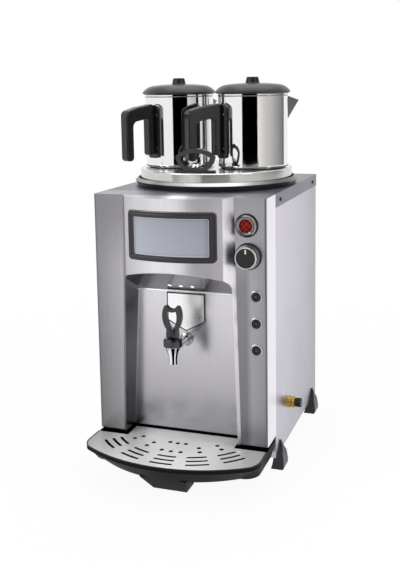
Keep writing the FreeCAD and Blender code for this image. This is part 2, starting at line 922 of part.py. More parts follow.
def tap_lever():
    """A horned loop on a forked neck that straddles the stem."""
    y = tap_y - lever_depth / 2
    w, n, t, b = lever_half, lever_neck_half - 1, lever_top, lever_neck_top
    horn = w * 0.62
    outer = face_of([
        line(V(-n, y, b), V(n, y, b)),
        arc(V(n, y, b), V(w, y, b + (t - b) * 0.55), V(horn + 3, y, t)),
        line(V(horn + 3, y, t), V(horn - 2, y, t + 1)),
        arc(V(horn - 2, y, t + 1), V(0, y, t - 5.5), V(-horn + 2, y, t + 1)),
        line(V(-horn + 2, y, t + 1), V(-horn - 3, y, t)),
        arc(V(-horn - 3, y, t), V(-w, y, b + (t - b) * 0.55), V(-n, y, b)),
    ]).extrude(V(0, lever_depth, 0))
    i, z0, z1 = w * 0.5, b + 4, t - 10
    inner = face_of([
        arc(V(3, y - 1, z0), V(i, y - 1, b + (t - b) * 0.5), V(i - 1.5, y - 1, z1)),
        arc(V(i - 1.5, y - 1, z1), V(0, y - 1, z1 - 2), V(-i + 1.5, y - 1, z1)),
        arc(V(-i + 1.5, y - 1, z1), V(-i, y - 1, b + (t - b) * 0.5), V(-3, y - 1, z0)),
        line(V(-3, y - 1, z0), V(3, y - 1, z0)),
    ]).extrude(V(0, lever_depth + 2, 0))
    foot = bonnet_top + fit_gap
    heel = lever_heel
    neck = polygon([
        V(-lever_neck_half, tap_y - heel, foot), V(-lever_neck_half, tap_y + heel, foot),
        V(-lever_neck_half, tap_y + heel, foot + 4), V(-lever_neck_half, tap_y + lever_depth / 2, b + 1),
        V(-lever_neck_half, tap_y - lever_depth / 2, b + 1), V(-lever_neck_half, tap_y - heel, foot + 4),
    ]).extrude(V(2 * lever_neck_half, 0, 0))
    side = stem_r + 0.5
    slot = box(-side, side, tap_y - heel - 1, tap_y + heel + 1, foot - 1, pivot_z + 6)
    eye = rod(pivot_r, V(-20, tap_y, pivot_z), V(20, tap_y, pivot_z))
    return outer.cut(inner).fuse(neck).removeSplitter().cut([slot, eye])


# Tank, collar and lid

def tank():
    wall, c = tank_wall, tank_corner
    r, z0, z1 = tank_r, tank_bottom, tank_top
    shell = spun([
        (0, z0), (r - c, z0), (r, z0 + c), (r, z1 - wall), (tank_flange_r, z1 - wall), (tank_flange_r, z1),
        (r - wall, z1), (r - wall, z0 + c + 1), (r - c - 1, z0 + wall), (0, z0 + wall),
    ], 0, tank_y)
    holes = [
        rod(shank_r, V(0, tank_y - r - 1, shank_z), V(0, tank_y - r + shank_end, shank_z)),
        rod(drain_pipe_r, V(drain_bore_x, drain_y, z0 - 1), V(drain_bore_x, drain_y, z0 + 2)),
        rod(element_flange_r - 8, V(element_x, tank_y, z0 - 1), V(element_x, tank_y, z0 + 2)),
    ]
    return shell.cut(holes)


def tank_jacket():
    r = tank_r
    ring = tube(r + jacket_thick, r, V(0, tank_y, tank_bottom + jacket_foot), V(0, tank_y, jacket_top))
    front, back = tank_y - r - jacket_thick - 2, tank_y - r + 6
    slot = rod(shank_r + jacket_hole, V(0, front, shank_z), V(0, back, shank_z))
    tall = box(-limit_r - 3, limit_r + 3, front, back, limit_z() - limit_room, limit_z() + limit_room)
    return ring.cut([slot, tall])


def limit_z():
    return tank_bottom + limit_up


def limit_thermostat():
    """A button thermostat clamped to the tank's front wall."""
    y = tank_y - tank_r
    disc = rod(limit_r, V(0, y - limit_depth, limit_z()), V(0, y, limit_z()))
    feet = box(-limit_r - 1.5, limit_r + 1.5, y - 1.5, y + 1.2, limit_z() - 4, limit_z() + 4)
    tabs = [box(s * 5 - 3, s * 5 + 3, y - 15, y - 7, limit_z() - 0.5, limit_z() + 0.5) for s in (-1, 1)]
    wall = rod(tank_r, V(0, tank_y, tank_bottom), V(0, tank_y, tank_top))
    return disc.fuse([feet] + tabs).removeSplitter().cut(wall)


def collar_gasket():
    return tube(tank_flange_r, collar_bore_r + 2, V(0, tank_y, tank_top), V(0, tank_y, gasket_top))


def tank_collar():
    """A spun gutter: it clamps the tank's flange, carries the cover and catches its drips."""
    z0, t = body_top, collar_sheet
    clear = tank_flange_r + 0.5
    mouth, belly = collar_mouth_r, collar_belly_r
    return spun([
        (collar_bore_r, gasket_top), (clear, gasket_top), (clear, z0), (collar_r, z0), (belly, collar_belly_z),
        (mouth, collar_lip_z), (mouth - t, collar_lip_z - t * 0.6), (belly - 1.4 * t, collar_belly_z),
        (mouth + t, collar_floor), (collar_bore_r, collar_floor),
    ], 0, tank_y)


def steam_lid():
    """An inverted pan with a rounded shoulder, and a ring below that centres it in the collar."""
    r, s, t = lid_r, lid_shoulder_r, sheet
    z0, z1 = collar_floor + fit_gap, lid_top
    k = math.sqrt(0.5)
    outer = [V(r, 0, z0), V(r, 0, z1 - s), V(r - s, 0, z1), V(0, 0, z1)]
    inner = [V(0, 0, z1 - t), V(r - s, 0, z1 - t), V(r - t, 0, z1 - s), V(r - t, 0, z0)]
    bend = V(r - s + s * k, 0, z1 - s + s * k)
    bend_in = V(r - s + (s - t) * k, 0, z1 - s + (s - t) * k)
    pan = face_of([
        line(outer[0], outer[1]), arc(outer[1], bend, outer[2]), line(outer[2], outer[3]),
        line(outer[3], inner[0]), line(inner[0], inner[1]), arc(inner[1], bend_in, inner[2]),
        line(inner[2], inner[3]), line(inner[3], outer[0]),
    ]).revolve(V(0, 0, 0), V(0, 0, 1), 360)
    pan.translate(V(0, tank_y, 0))
    skirt = tube(collar_bore_r - 1, collar_bore_r - 1 - t, V(0, tank_y, lid_guide_z), V(0, tank_y, z1 - t))
    return pan.fuse(skirt).removeSplitter()


def handle_base():
    """The black foot plate under the loop."""
    z, deep = lid_top, loop_depth / 2 + 2
    pad = box(-loop_half, loop_half, loop_y - deep, loop_y + deep, z, z + loop_pad)
    return pad.makeFillet(3, [e for e in pad.Edges if abs(e.tangentAt(e.FirstParameter).z) > 0.9])


def lid_handle():
    """A stirrup that narrows to the foot plate, open in the middle for the fingers."""
    w, h, b, d = loop_half, loop_height, loop_bar, loop_depth
    z, y = lid_top + loop_pad, loop_y - d / 2
    n = loop_foot
    outer = face_of([
        line(V(-n, y, z), V(n, y, z)),
        arc(V(n, y, z), V(w * 0.9, y, z + h * 0.3), V(w, y, z + h * 0.58)),
        arc(V(w, y, z + h * 0.58), V(0, y, z + h - 4), V(-w, y, z + h * 0.58)),
        arc(V(-w, y, z + h * 0.58), V(-w * 0.9, y, z + h * 0.3), V(-n, y, z)),
    ]).extrude(V(0, d, 0))
    q = n - b * 0.6
    low = z + 6
    inner = face_of([
        line(V(-q, y - 1, low), V(q, y - 1, low)),
        arc(V(q, y - 1, low), V(w * 0.9 - b, y - 1, z + h * 0.33), V(w - b, y - 1, z + h * 0.54)),
        arc(V(w - b, y - 1, z + h * 0.54), V(0, y - 1, z + h - 4 - b), V(-w + b, y - 1, z + h * 0.54)),
        arc(V(-w + b, y - 1, z + h * 0.54), V(-w * 0.9 + b, y - 1, z + h * 0.33), V(-q, y - 1, low)),
    ]).extrude(V(0, d + 2, 0))
    nut_seat = rod(loop_stud_r + 0.2, V(0, loop_y, z - 1), V(0, loop_y, low + 1))
    return outer.cut(inner).cut(nut_seat)


def handle_nut():
    """The polished dome nut that holds the handle to the lid."""
    z, r = lid_top + loop_pad + 6, loop_nut_r
    dome = spun([(0, z), (r, z), (r, z + 3), (r - 1.5, z + 6.5), (r - 5, z + 8.6), (0, z + 9.2)], 0, loop_y)
    stud = rod(loop_stud_r, V(0, loop_y, z - 6), V(0, loop_y, z))
    return dome.fuse(stud).removeSplitter()


# Teapots, drawn round z with the handle along +x

def pot_shell():
    r, t, f = pot_r, pot_wall, pot_foot_r
    z0, z1 = pot_foot_z, pot_rim_z
    k = math.sqrt(0.5)
    face = face_of([
        line(V(0, 0, z0), V(r - f, 0, z0)),
        arc(V(r - f, 0, z0), V(r - f + f * k, 0, z0 + f - f * k), V(r, 0, z0 + f)),
        line(V(r, 0, z0 + f), V(r, 0, z1)),
        line(V(r, 0, z1), V(r - t, 0, z1)),
        line(V(r - t, 0, z1), V(r - t, 0, z0 + f)),
        arc(V(r - t, 0, z0 + f), V(r - f + (f - t) * k, 0, z0 + f - (f - t) * k), V(r - f, 0, z0 + t)),
        line(V(r - f, 0, z0 + t), V(0, 0, z0 + t)),
        line(V(0, 0, z0 + t), V(0, 0, z0)),
    ])
    return face.revolve(V(0, 0, 0), V(0, 0, 1), 360)


def beak(inset):
    """A three-cornered spout that points away from the handle."""
    top = pot_rim_z - spout_drop
    root = -pot_r + 6
    tip = V(-spout_reach + inset * 1.6, 0, spout_tip_z + (3 if inset else 0))
    half_w = spout_half - inset * 1.2
    low = V(root, 0, spout_low + inset * 2.2)
    left = V(root, half_w, top + (3 if inset else 0))
    right = V(root, -half_w, top + (3 if inset else 0))
    faces = [polygon([left, right, low]), polygon([left, right, tip]),
             polygon([left, low, tip]), polygon([right, low, tip])]
    return Part.Solid(Part.Shell(faces))


def pot_body():
    shell = pot_shell()
    inside = rod(pot_r - pot_wall, V(0, 0, lid_top), V(0, 0, pot_rim_z + 10))
    outer = beak(0).cut(inside)
    shell = shell.fuse(outer).removeSplitter()
    return shell.cut(beak(pot_wall))


def pot_handle():
    """One moulding: a flange on the pot, a block that stands off it, an arm and a hanging grip."""
    inside = pot_r - pot_foot_r
    near, far = pot_r + block_in, pot_r + block_out
    g0, g1 = grip_reach - grip_depth / 2, grip_reach + grip_depth / 2
    under_in, under_out = arm_top_in - arm_height - 8, arm_top_out - arm_height
    outline = rounded_outline([
        (near, arm_top_in - 0.5, 4), (g0 - 14, arm_top_in - 6, 30), (g1, arm_top_out, 12), (g1, grip_low, 8),
        (g0, grip_low, 8), (g0, under_out, 13), (far, under_in, 6), (far, block_low, 6), (near, block_low, 5),
    ], lambda a, b: V(a, -block_half, b))
    arm = Part.Face(outline).extrude(V(0, 2 * block_half, 0))
    sides = edges_at(arm, lambda p: abs(abs(p.y) - block_half) < 1e-3)
    arm = arm.makeFillet(handle_edge_r, sides)
    flange = rounded_outline([
        (-mount_half, mount_low, 6), (mount_half, mount_low, 6),
        (mount_half, arm_top_in - 3, 10), (-mount_half, arm_top_in - 3, 10),
    ], lambda a, b: V(inside, a, b))
    flange = Part.Face(flange).extrude(V(pot_r + mount_thick - inside, 0, 0))
    web_out = near + handle_edge_r + 1
    web = box(inside, web_out, -mount_web_half, mount_web_half, block_low + 8, arm_top_in - 9)
    solid = arm.fuse([flange, web]).removeSplitter()
    return solid.cut(rod(pot_r, V(0, 0, mount_low - 1), V(0, 0, arm_top_in + 1)))


def dome_points():
    """The lid's outside from its middle to the brim: nearly flat, with a steep shoulder."""
    shares = [(0.0, 1.0), (0.45, 0.975), (0.74, 0.82), (0.89, 0.52), (1.0, 0.0)]
    low = pot_brim_z + pot_brim_edge
    return [V(pot_lid_r * out, 0, low + pot_dome_rise * up) for out, up in shares]


def dome_edges():
    p = dome_points()
    return [arc(p[0], p[1], p[2]), arc(p[2], p[3], p[4])]


def lid_lens():
    """Everything under the lid's dome."""
    rim = dome_points()[-1]
    foot = V(0, 0, rim.z)
    face = face_of(dome_edges() + [line(rim, foot), line(foot, V(0, 0, pot_dome_z))])
    return face.revolve(V(0, 0, 0), V(0, 0, 1), 360)


def pot_lid():
    """A shallow dome with a thin brim, and a ring that drops inside the pot."""
    z, t = pot_rim_z + fit_gap, pot_lid_wall
    plug = pot_r - pot_wall - pot_plug_gap
    middle, flat, shoulder, steep, rim = dome_points()
    under = [
        V(rim.x, 0, pot_brim_z), V(pot_r + 1, 0, z), V(plug, 0, z), V(plug, 0, z - pot_plug_depth),
        V(plug - t, 0, z - pot_plug_depth), V(plug - t, 0, z + t), V(shoulder.x, 0, shoulder.z - 1.3 * t),
        V(flat.x, 0, flat.z - t), V(0, 0, middle.z - t),
    ]
    points = [rim] + under + [middle]
    edges = [line(a, b) for a, b in zip(points, points[1:])]
    return face_of(dome_edges() + edges).revolve(V(0, 0, 0), V(0, 0, 1), 360)


def pot_lid_knob():
    z, top = pot_dome_z, pot_knob_z
    knob = spun([(0, z - 4), (pot_knob_r, z - 4), (pot_knob_r, z), (pot_knob_top_r, top - 1.2),
                 (pot_knob_top_r - 1.2, top), (0, top)], 0, 0)
    return knob.cut(lid_lens())


def on_left_pot(shape):
    return turned(shape, handle_left_turn, -pot_pitch / 2, tank_y)


def on_right_pot(shape):
    return turned(shape, handle_right_turn, pot_pitch / 2, tank_y)


# Drip tray

def tray_outline(z, inset, back):
    """The tray's plan: straight back and sides, cut corners and a bowed front."""
    s, c = tray_half - inset * 0.28, tray_corner_half - inset
    side_y = tray_side_front + inset * 0.6
    corner_y, front_y = tray_corner_front + inset * 0.9, tray_front + inset
    mid = V(s - (s - c) * 0.2, (side_y + corner_y) / 2 - 4, z)
    right = [V(s, back, z), V(s, side_y, z), V(c, corner_y, z)]
    left = [V(-p.x, p.y, z) for p in right]
    return Part.Wire([
        line(right[0], right[1]),
        arc(right[1], mid, right[2]),
        arc(right[2], V(0, front_y, z), left[2]),
        arc(left[2], V(-mid.x, mid.y, z), left[1]),
        line(left[1], left[0]),
        line(left[0], right[0]),
    ])


def tray_block(z0, z1, inset0, inset1, back):
    return Part.makeLoft([tray_outline(z0, inset0, back), tray_outline(z1, inset1, back)], True, True)


def drip_tray():
    """A dished basin with a rim, ribs under the plate and a tongue that reaches the floor."""
    rim = tray_top - plate_thick
    lip = rim - tray_lip
    t = tray_wall
    outer = tray_block(tray_bottom, lip, tray_inset, 0, tray_back)
    outer = outer.fuse(tray_block(lip, rim, 0, 0, tray_back))
    hollow = tray_block(tray_bottom + t, lip, tray_inset + t, t, tray_back - t)
    hollow = hollow.fuse(tray_block(lip, rim + 1, t, t, tray_back - t))
    tongue = Part.makeLoft([
        Part.makePolygon([V(-tongue_half_low, tongue_low_front, 0), V(tongue_half_low, tongue_low_front, 0),
                          V(tongue_half_low, tongue_low_back, 0), V(-tongue_half_low, tongue_low_back, 0),
                          V(-tongue_half_low, tongue_low_front, 0)]),
        Part.makePolygon([V(-tongue_half_top, tongue_top_front, tray_bottom),
                          V(tongue_half_top, tongue_top_front, tray_bottom),
                          V(tongue_half_top, tongue_low_back, tray_bottom),
                          V(-tongue_half_top, tongue_low_back, tray_bottom),
                          V(-tongue_half_top, tongue_top_front, tray_bottom)]),
    ], True, True)
    ribs = []
    for x in (-tray_rib_x, tray_rib_x):
        ribs.append(box(x - tray_rib_thick / 2, x + tray_rib_thick / 2, tray_back - tray_rib_run,
                        tray_back - t + 1, tray_bottom + 1, rim))
    return outer.cut(hollow).fuse([tongue] + ribs).removeSplitter()


def fan_point(degrees, r, z):
    """A point r out from the fan's middle, at an angle from straight forward."""
    a = math.radians(degrees)
    return V(r * math.sin(a), fan_y - r * math.cos(a), z)


def fan_slot(degrees, r, z):
    """A round-ended slot that follows its circle about the fan's middle."""
    w, h = slot_width / 2, slot_span / 2
    end = math.degrees(w / r)
    outer = [fan_point(degrees + i * h, r + w, z) for i in (-1, 0, 1)]
    inner = [fan_point(degrees + i * h, r - w, z) for i in (-1, 0, 1)]
    left, right = fan_point(degrees - h - end, r, z), fan_point(degrees + h + end, r, z)
    return face_of([
        arc(outer[0], outer[1], outer[2]), arc(outer[2], right, inner[2]),
        arc(inner[2], inner[1], inner[0]), arc(inner[0], left, outer[0]),
    ]).extrude(V(0, 0, plate_thick + 2))


def hole_places():
    """Round holes in threes along the middle and in pairs beside it."""
    places = [(turn * outer_three, hole_outer_r) for turn in (-1, 0, 1)]
    places += [(turn * near_three, hole_near_r) for turn in (-1, 0, 1)]
    places += [(angle, r) for angle in pair_angles for r in (hole_outer_r, hole_inner_r)]
    return places


def drip_plate():
    """A sheet over the tray and into the alcove, with slots in fans and round drain holes."""
    z0, z1 = tray_top - plate_thick, tray_top
    g = plate_gap
    sheet_face = Part.Face(tray_outline(z0, fit_gap, tray_back))
    plate = sheet_face.extrude(V(0, 0, plate_thick))
    beside = box(alcove_half_low - g, half + g, -plate_notch, tray_back + g, z0 - 1, z1 + 1)
    behind = box(-half, half, alcove_back - g, tray_back + g, z0 - 1, z1 + 1)
    cuts = [beside, mirrored(beside), behind]
    for degrees in fan_angles:
        for row in range(fan_rows):
            cuts.append(fan_slot(degrees, slot_row_r + row * slot_row_pitch, z0 - 1))
    for degrees, r in hole_places():
        cuts.append(Part.makeCylinder(hole_r, plate_thick + 2, fan_point(degrees, r, z0 - 1)))
    return plate.cut(cuts)


# Feet, drain and tank fittings

def corner_foot(y):
    """A boot under the corner of the base, with a fin that rises on the outside of the panel."""
    out = half + foot_out
    inn = out - foot_width
    s = side_face
    y0 = y - foot_reach
    front = face_of([
        line(V(inn, y0, 0), V(out - 2, y0, 0)),
        line(V(out - 2, y0, 0), V(out, y0, 3)),
        line(V(out, y0, 3), V(out, y0, foot_sole)),
        arc(V(out, y0, foot_sole), V(out - 3, y0, panel_bottom), V(s + foot_tip, y0, foot_tip_z)),
        line(V(s + foot_tip, y0, foot_tip_z), V(s, y0, foot_tip_z)),
        line(V(s, y0, foot_tip_z), V(s, y0, panel_bottom)),
        line(V(s, y0, panel_bottom), V(inn + 5, y0, panel_bottom)),
        arc(V(inn + 5, y0, panel_bottom), V(inn + 3.5, y0, foot_sole), V(inn, y0, 0)),
    ]).extrude(V(0, 2 * foot_reach, 0))
    h, w, t, x = foot_half_length, foot_waist, foot_tip, inn - 5
    fin = (foot_tip_z + panel_bottom) / 2 - 2
    bend = (w + t) / 2 - 2.5
    side = face_of([
        line(V(x, y - h, 0), V(x, y + h, 0)),
        line(V(x, y + h, 0), V(x, y + w, panel_bottom)),
        arc(V(x, y + w, panel_bottom), V(x, y + bend, fin), V(x, y + t, foot_tip_z)),
        line(V(x, y + t, foot_tip_z), V(x, y - t, foot_tip_z)),
        arc(V(x, y - t, foot_tip_z), V(x, y - bend, fin), V(x, y - w, panel_bottom)),
        line(V(x, y - w, panel_bottom), V(x, y - h, 0)),
    ]).extrude(V(2 * foot_reach, 0, 0))
    return front.common(side)


def corner_feet():
    feet = []
    for y in (foot_front_y, foot_rear_y):
        foot = corner_foot(y)
        feet += [foot, mirrored(foot)]
    return Part.makeCompound(feet)


def drain_valve():
    """A brass neck through the side panel, locked with a nut, with the union for the pipe inside."""
    at = V(0, drain_y, drain_z)
    x = side_face
    first, second, end = x - drain_inside, half + drain_neck_out, half + drain_end
    neck = rod(drain_neck_r, at + V(first, 0, 0), at + V(second, 0, 0))
    flanges = []
    for r, x0, x1 in (
        (drain_flange_r, x, x + drain_washer), (drain_flange_r, second - 1, end),
        (drain_flange_r + 2, side_inner - drain_nut, side_inner),
    ):
        flanges.append(tube(r, drain_neck_r - 1, at + V(x0, 0, 0), at + V(x1, 0, 0)))
    tip = tube(drain_neck_r, drain_way_r, at + V(second, 0, 0), at + V(end, 0, 0))
    bore = rod(drain_pipe_r, at + V(first - 1, 0, 0), at + V(x - drain_socket, 0, 0))
    way = rod(drain_way_r, at + V(first - 1, 0, 0), at + V(end + 1, 0, 0))
    return neck.fuse(flanges + [tip]).removeSplitter().cut([bore, way])


def drain_cap():
    """A knurled cap on the end of the valve."""
    x0, x1 = half + drain_end + fit_gap, half + drain_reach
    points = []
    for i in range(2 * drain_flutes):
        r = drain_cap_r if i % 2 == 0 else drain_cap_r - 1
        a = math.pi * i / drain_flutes
        points.append(V(x0, drain_y + r * math.cos(a), drain_z + r * math.sin(a)))
    return polygon(points).extrude(V(x1 - x0, 0, 0))


def drain_pipe():
    r, t, b = drain_pipe_r, 1.0, drain_bend_r
    corner = V(drain_bore_x, drain_y, drain_z)
    down = corner + V(0, 0, b)
    along = corner + V(b, 0, 0)
    end = V(side_face - drain_socket, drain_y, drain_z)
    top = V(drain_bore_x, drain_y, tank_bottom)
    parts = []
    for radius in (r, r - t):
        leg = rod(radius, down, top + V(0, 0, 1.2 if radius == r else 2))
        run = rod(radius, along, end if radius == r else end + V(1, 0, 0))
        disc = Part.Face(Part.Wire(Part.makeCircle(radius, down, V(0, 0, 1))))
        bend = disc.revolve(V(drain_bore_x + b, drain_y, drain_z + b), V(0, 1, 0), -90)
        parts.append(leg.fuse([bend, run]))
    collar = tube(r + 4, r, top - V(0, 0, 4), top)
    return parts[0].cut(parts[1]).fuse(collar).removeSplitter()


def heating_element():
    """A hairpin over the tank's floor, with both legs brought down through its flange."""
    z0, r, b = tank_bottom, element_r, element_bend_r
    x0, y0 = element_x, tank_y
    gap = 2 * b
    solids = [rod(element_flange_r, V(x0, y0, z0 - 3), V(x0, y0, z0))]
    for s in (-1, 1):
        y = y0 + s * gap / 2
        foot = V(x0, y, z0 - 12)
        rise = V(x0, y, element_z - b)
        solids.append(rod(r, foot, rise))
        disc = Part.Face(Part.Wire(Part.makeCircle(r, rise, V(0, 0, 1))))
        solids.append(disc.revolve(V(x0 + b, y, element_z - b), V(0, 1, 0), 90))
        solids.append(rod(r, V(x0 + b, y, element_z), V(x0 + b + element_run, y, element_z)))
    end = V(x0 + b + element_run, y0 + gap / 2, element_z)
    disc = Part.Face(Part.Wire(Part.makeCircle(r, end, V(1, 0, 0))))
    solids.append(disc.revolve(V(end.x, y0, element_z), V(0, 0, 1), -180))
    return solids[0].fuse(solids[1:]).removeSplitter()


def terminal_block():
    z0 = panel_bottom + sheet
    x0, y0 = gland_x - 5, tank_y + terminal_back
    top = z0 + terminal_height
    block = box(x0, x0 + terminal_length, y0, y0 + terminal_depth, z0, top)
    pits = []
    for i in range(terminal_ways):
        x, y = x0 + (i + 0.7) * terminal_pitch, y0 + terminal_depth / 2
        pits.append(rod(terminal_hole_r, V(x, y, top - terminal_depth / 3), V(x, y, top + 1)))
    return block.cut(pits)


def cable_gland():
    at = V(gland_x, 0, gland_z)
    y0, y1 = body_back - gland_inside, body_back + gland_reach
    root = body_back + gland_hex
    r = gland_nut_r
    stem = rod(gland_r, at + V(0, y0, 0), at + V(0, root + 2, 0))
    outline = [(0, root), (r - 2, root), (r - 2, y1 - 5), (r - 5, y1), (0, y1)]
    dome = spun(outline, gland_x, 0, V(0, 1, 0), gland_z)
    nuts = []
    for start, deep in ((body_back, gland_hex), (body_back - sheet - gland_lock, gland_lock)):
        nuts.append(hexagon(r, gland_x, start, gland_z, deep))
    solid = stem.fuse([dome] + nuts).removeSplitter()
    return solid.cut(rod(gland_bore_r, at + V(0, y0 - 1, 0), at + V(0, y1 + 1, 0)))


def build():
    shapes = {
        "base_pan": base_pan(),
        "side_panel_left": side_panel_left(),
        "side_panel_right": side_panel_right(),
        "back_panel": back_panel(),
        "top_panel": top_panel(),
        "cabinet_screws": cabinet_screws(),
        "corner_feet": corner_feet(),
        "fascia": fascia(),
        "alcove_liner": alcove_liner(),
        "display_bezel": display_bezel(),
        "display_panel": display_panel(),
        "lamp_lenses": lamp_lenses(),
        "shield_plate": shield_plate(),
        "switch_gasket": switch_gasket(),
        "switch_housing": switch_housing(),
        "power_button": power_button(),
        "thermostat_body": thermostat_body(),
        "thermostat_shaft": thermostat_shaft(),
        "thermostat_knob": thermostat_knob(),
        "knob_rim": knob_rim(),
        "knob_pointer": knob_pointer(),
        "button_rings": button_rings(),
        "tap_body": tap_body(),
        "tap_rosette": tap_rosette(),
        "tap_nuts": tap_nuts(),
        "tap_bonnet": tap_bonnet(),
        "tap_stem": tap_stem(),
        "seat_cup": seat_cup(),
        "tap_spring": tap_spring(),
        "lever_pin": lever_pin(),
        "tap_lever": tap_lever(),
        "tank": tank(),
        "tank_jacket": tank_jacket(),
        "limit_thermostat": limit_thermostat(),
        "collar_gasket": collar_gasket(),
        "tank_collar": tank_collar(),
        "steam_lid": steam_lid(),
        "handle_base": handle_base(),
        "lid_handle": lid_handle(),
        "handle_nut": handle_nut(),
        "drip_tray": drip_tray(),
        "drip_plate": drip_plate(),
        "drain_valve": drain_valve(),
        "drain_cap": drain_cap(),
        "drain_pipe": drain_pipe(),
        "heating_element": heating_element(),
        "terminal_block": terminal_block(),
        "cable_gland": cable_gland(),
    }
    for i, z in enumerate(push_heights()):
        shapes[f"push_button_{i + 1}"] = push_button(z)
    for side, place in (("left", on_left_pot), ("right", on_right_pot)):
        shapes[f"pot_{side}"] = place(pot_body())
        shapes[f"pot_{side}_handle"] = place(pot_handle())
        shapes[f"pot_{side}_lid"] = place(pot_lid())
        shapes[f"pot_{side}_knob"] = place(pot_lid_knob())
    return shapes


def main():
    os.makedirs("parts", exist_ok=True)
    for name, shape in build().items():
        shape.translate(V(-origin_x, -origin_y, 0))
        shape.exportStep(f"parts/{name}.step")
        size = shape.Volume / 1000
        print(f"{name:20s} solids {len(shape.Solids)} valid {shape.isValid()} volume {size:.1f} cm3")


main()
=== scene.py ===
# %% [markdown]
# A stainless hot water urn with two teapots. The shapes come ready made from the frame, in metres.
# This lesson gives them their finishes, adds the small parts that a maker would press, glue or
# screw on, and sets up a plain white studio. Each step says what the real thing is and how it is
# copied.

import math

import bmesh
import bpy
from mathutils import Matrix, Vector
from mathutils.geometry import convex_hull_2d


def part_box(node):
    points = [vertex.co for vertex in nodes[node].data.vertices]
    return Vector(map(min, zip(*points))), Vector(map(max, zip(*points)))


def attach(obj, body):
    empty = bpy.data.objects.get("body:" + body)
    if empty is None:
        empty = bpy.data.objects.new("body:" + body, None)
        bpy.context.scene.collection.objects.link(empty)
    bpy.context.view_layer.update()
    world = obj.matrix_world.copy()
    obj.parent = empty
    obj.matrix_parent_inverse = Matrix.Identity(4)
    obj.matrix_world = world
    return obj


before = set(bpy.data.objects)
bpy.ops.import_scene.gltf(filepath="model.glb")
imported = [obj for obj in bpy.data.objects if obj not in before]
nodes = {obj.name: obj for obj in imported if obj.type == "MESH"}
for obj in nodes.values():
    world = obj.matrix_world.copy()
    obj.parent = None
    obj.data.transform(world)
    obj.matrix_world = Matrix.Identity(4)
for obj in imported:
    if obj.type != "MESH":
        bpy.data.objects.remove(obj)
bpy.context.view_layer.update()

# %% [markdown]
# The photograph was taken from the right of the urn, a little above its lid, with the lens held
# level and slid down. A slid lens keeps upright edges nearly upright, so the camera gets a small
# downward shift instead of a steep tilt.

# %% Camera
view_azimuth = math.radians(19.37)
view_pitch = math.radians(7.91)
view_roll = math.radians(-0.92)
forward = Vector((
    -math.sin(view_azimuth) * math.cos(view_pitch),
    math.cos(view_azimuth) * math.cos(view_pitch),
    -math.sin(view_pitch),
))
level_right = Vector((math.cos(view_azimuth), math.sin(view_azimuth), 0))
level_up = level_right.cross(forward)
camera_right = level_right * math.cos(view_roll) + level_up * math.sin(view_roll)
camera_up = level_up * math.cos(view_roll) - level_right * math.sin(view_roll)


def put_in_scene(name, data):
    """An object that holds this data and stands in the scene."""
    thing = bpy.data.objects.new(name, data)
    bpy.context.scene.collection.objects.link(thing)
    return thing


camera = put_in_scene("camera", bpy.data.cameras.new("camera"))
camera.matrix_world = Matrix((camera_right, camera_up, -forward)).transposed().to_4x4()
camera.location = (0.5743, -1.6900, 0.7787)
camera.data.lens = 53.4
camera.data.shift_y = -0.1404
camera.data.clip_start = 0.01
bpy.context.scene.camera = camera
bpy.context.scene.view_settings.view_transform = "Standard"
print("the camera stands", round(camera.location.length, 2), "m from the origin")

# %% [markdown]
# Every finish is built from nodes. Small helpers keep the cells short: one makes a node with its
# settings and inputs, and one reads where a point lies on its piece.

# %% Node helpers
def set_or_link(tree, socket, value):
    """Give a socket a number, a vector or another node's output."""
    if isinstance(value, bpy.types.NodeSocket):
        tree.links.new(value, socket)
    else:
        socket.default_value = value


def add_node(tree, kind, settings=None, **inputs):
    """A node with properties from settings and inputs set by name."""
    node = tree.nodes.new(kind)
    for key, value in (settings or {}).items():
        setattr(node, key, value)
    for key, value in inputs.items():
        set_or_link(tree, node.inputs[key.replace("_", " ")], value)
    return node


def place_on_piece(tree, kind="Object"):
    """Where a point lies on its piece, in metres, or which way its Normal goes."""
    return tree.nodes.new("ShaderNodeTexCoord").outputs[kind]


def axes_of(tree, kind="Object"):
    """The same place or Normal as three sockets, X, Y and Z."""
    return add_node(tree, "ShaderNodeSeparateXYZ", Vector=place_on_piece(tree, kind)).outputs


# %% [markdown]
# A mask is a number between nought and one that comes from a place or a noise. One helper does a
# sum, one spreads a value between two limits, and one blends two values by a mask.

# %% Sums and masks
def maths(tree, operation, a, b=0.0):
    """The result of a maths node, whose inputs may be sockets or numbers."""
    node = tree.nodes.new("ShaderNodeMath")
    node.operation = operation
    set_or_link(tree, node.inputs[0], a)
    set_or_link(tree, node.inputs[1], b)
    return node.outputs[0]


def spread(tree, value, start, stop, low, high):
    """A value that goes evenly from low to high while its source goes from start to stop."""
    node = add_node(tree, "ShaderNodeMapRange", {"clamp": True}, Value=value)
    for label, number in (("From Min", start), ("From Max", stop), ("To Min", low), ("To Max", high)):
        set_or_link(tree, node.inputs[label], number)
    return node.outputs["Result"]


def blend_values(tree, share, a, b):
    """Share 0 gives a, share 1 gives b."""
    node = tree.nodes.new("ShaderNodeMix")
    set_or_link(tree, node.inputs[0], share)
    set_or_link(tree, node.inputs[2], a)
    set_or_link(tree, node.inputs[3], b)
    return node.outputs[0]


# %% [markdown]
# A node group is a recipe that many materials share. The helper gives it named inputs with their
# defaults, and the two below make the noise that most groups hold.

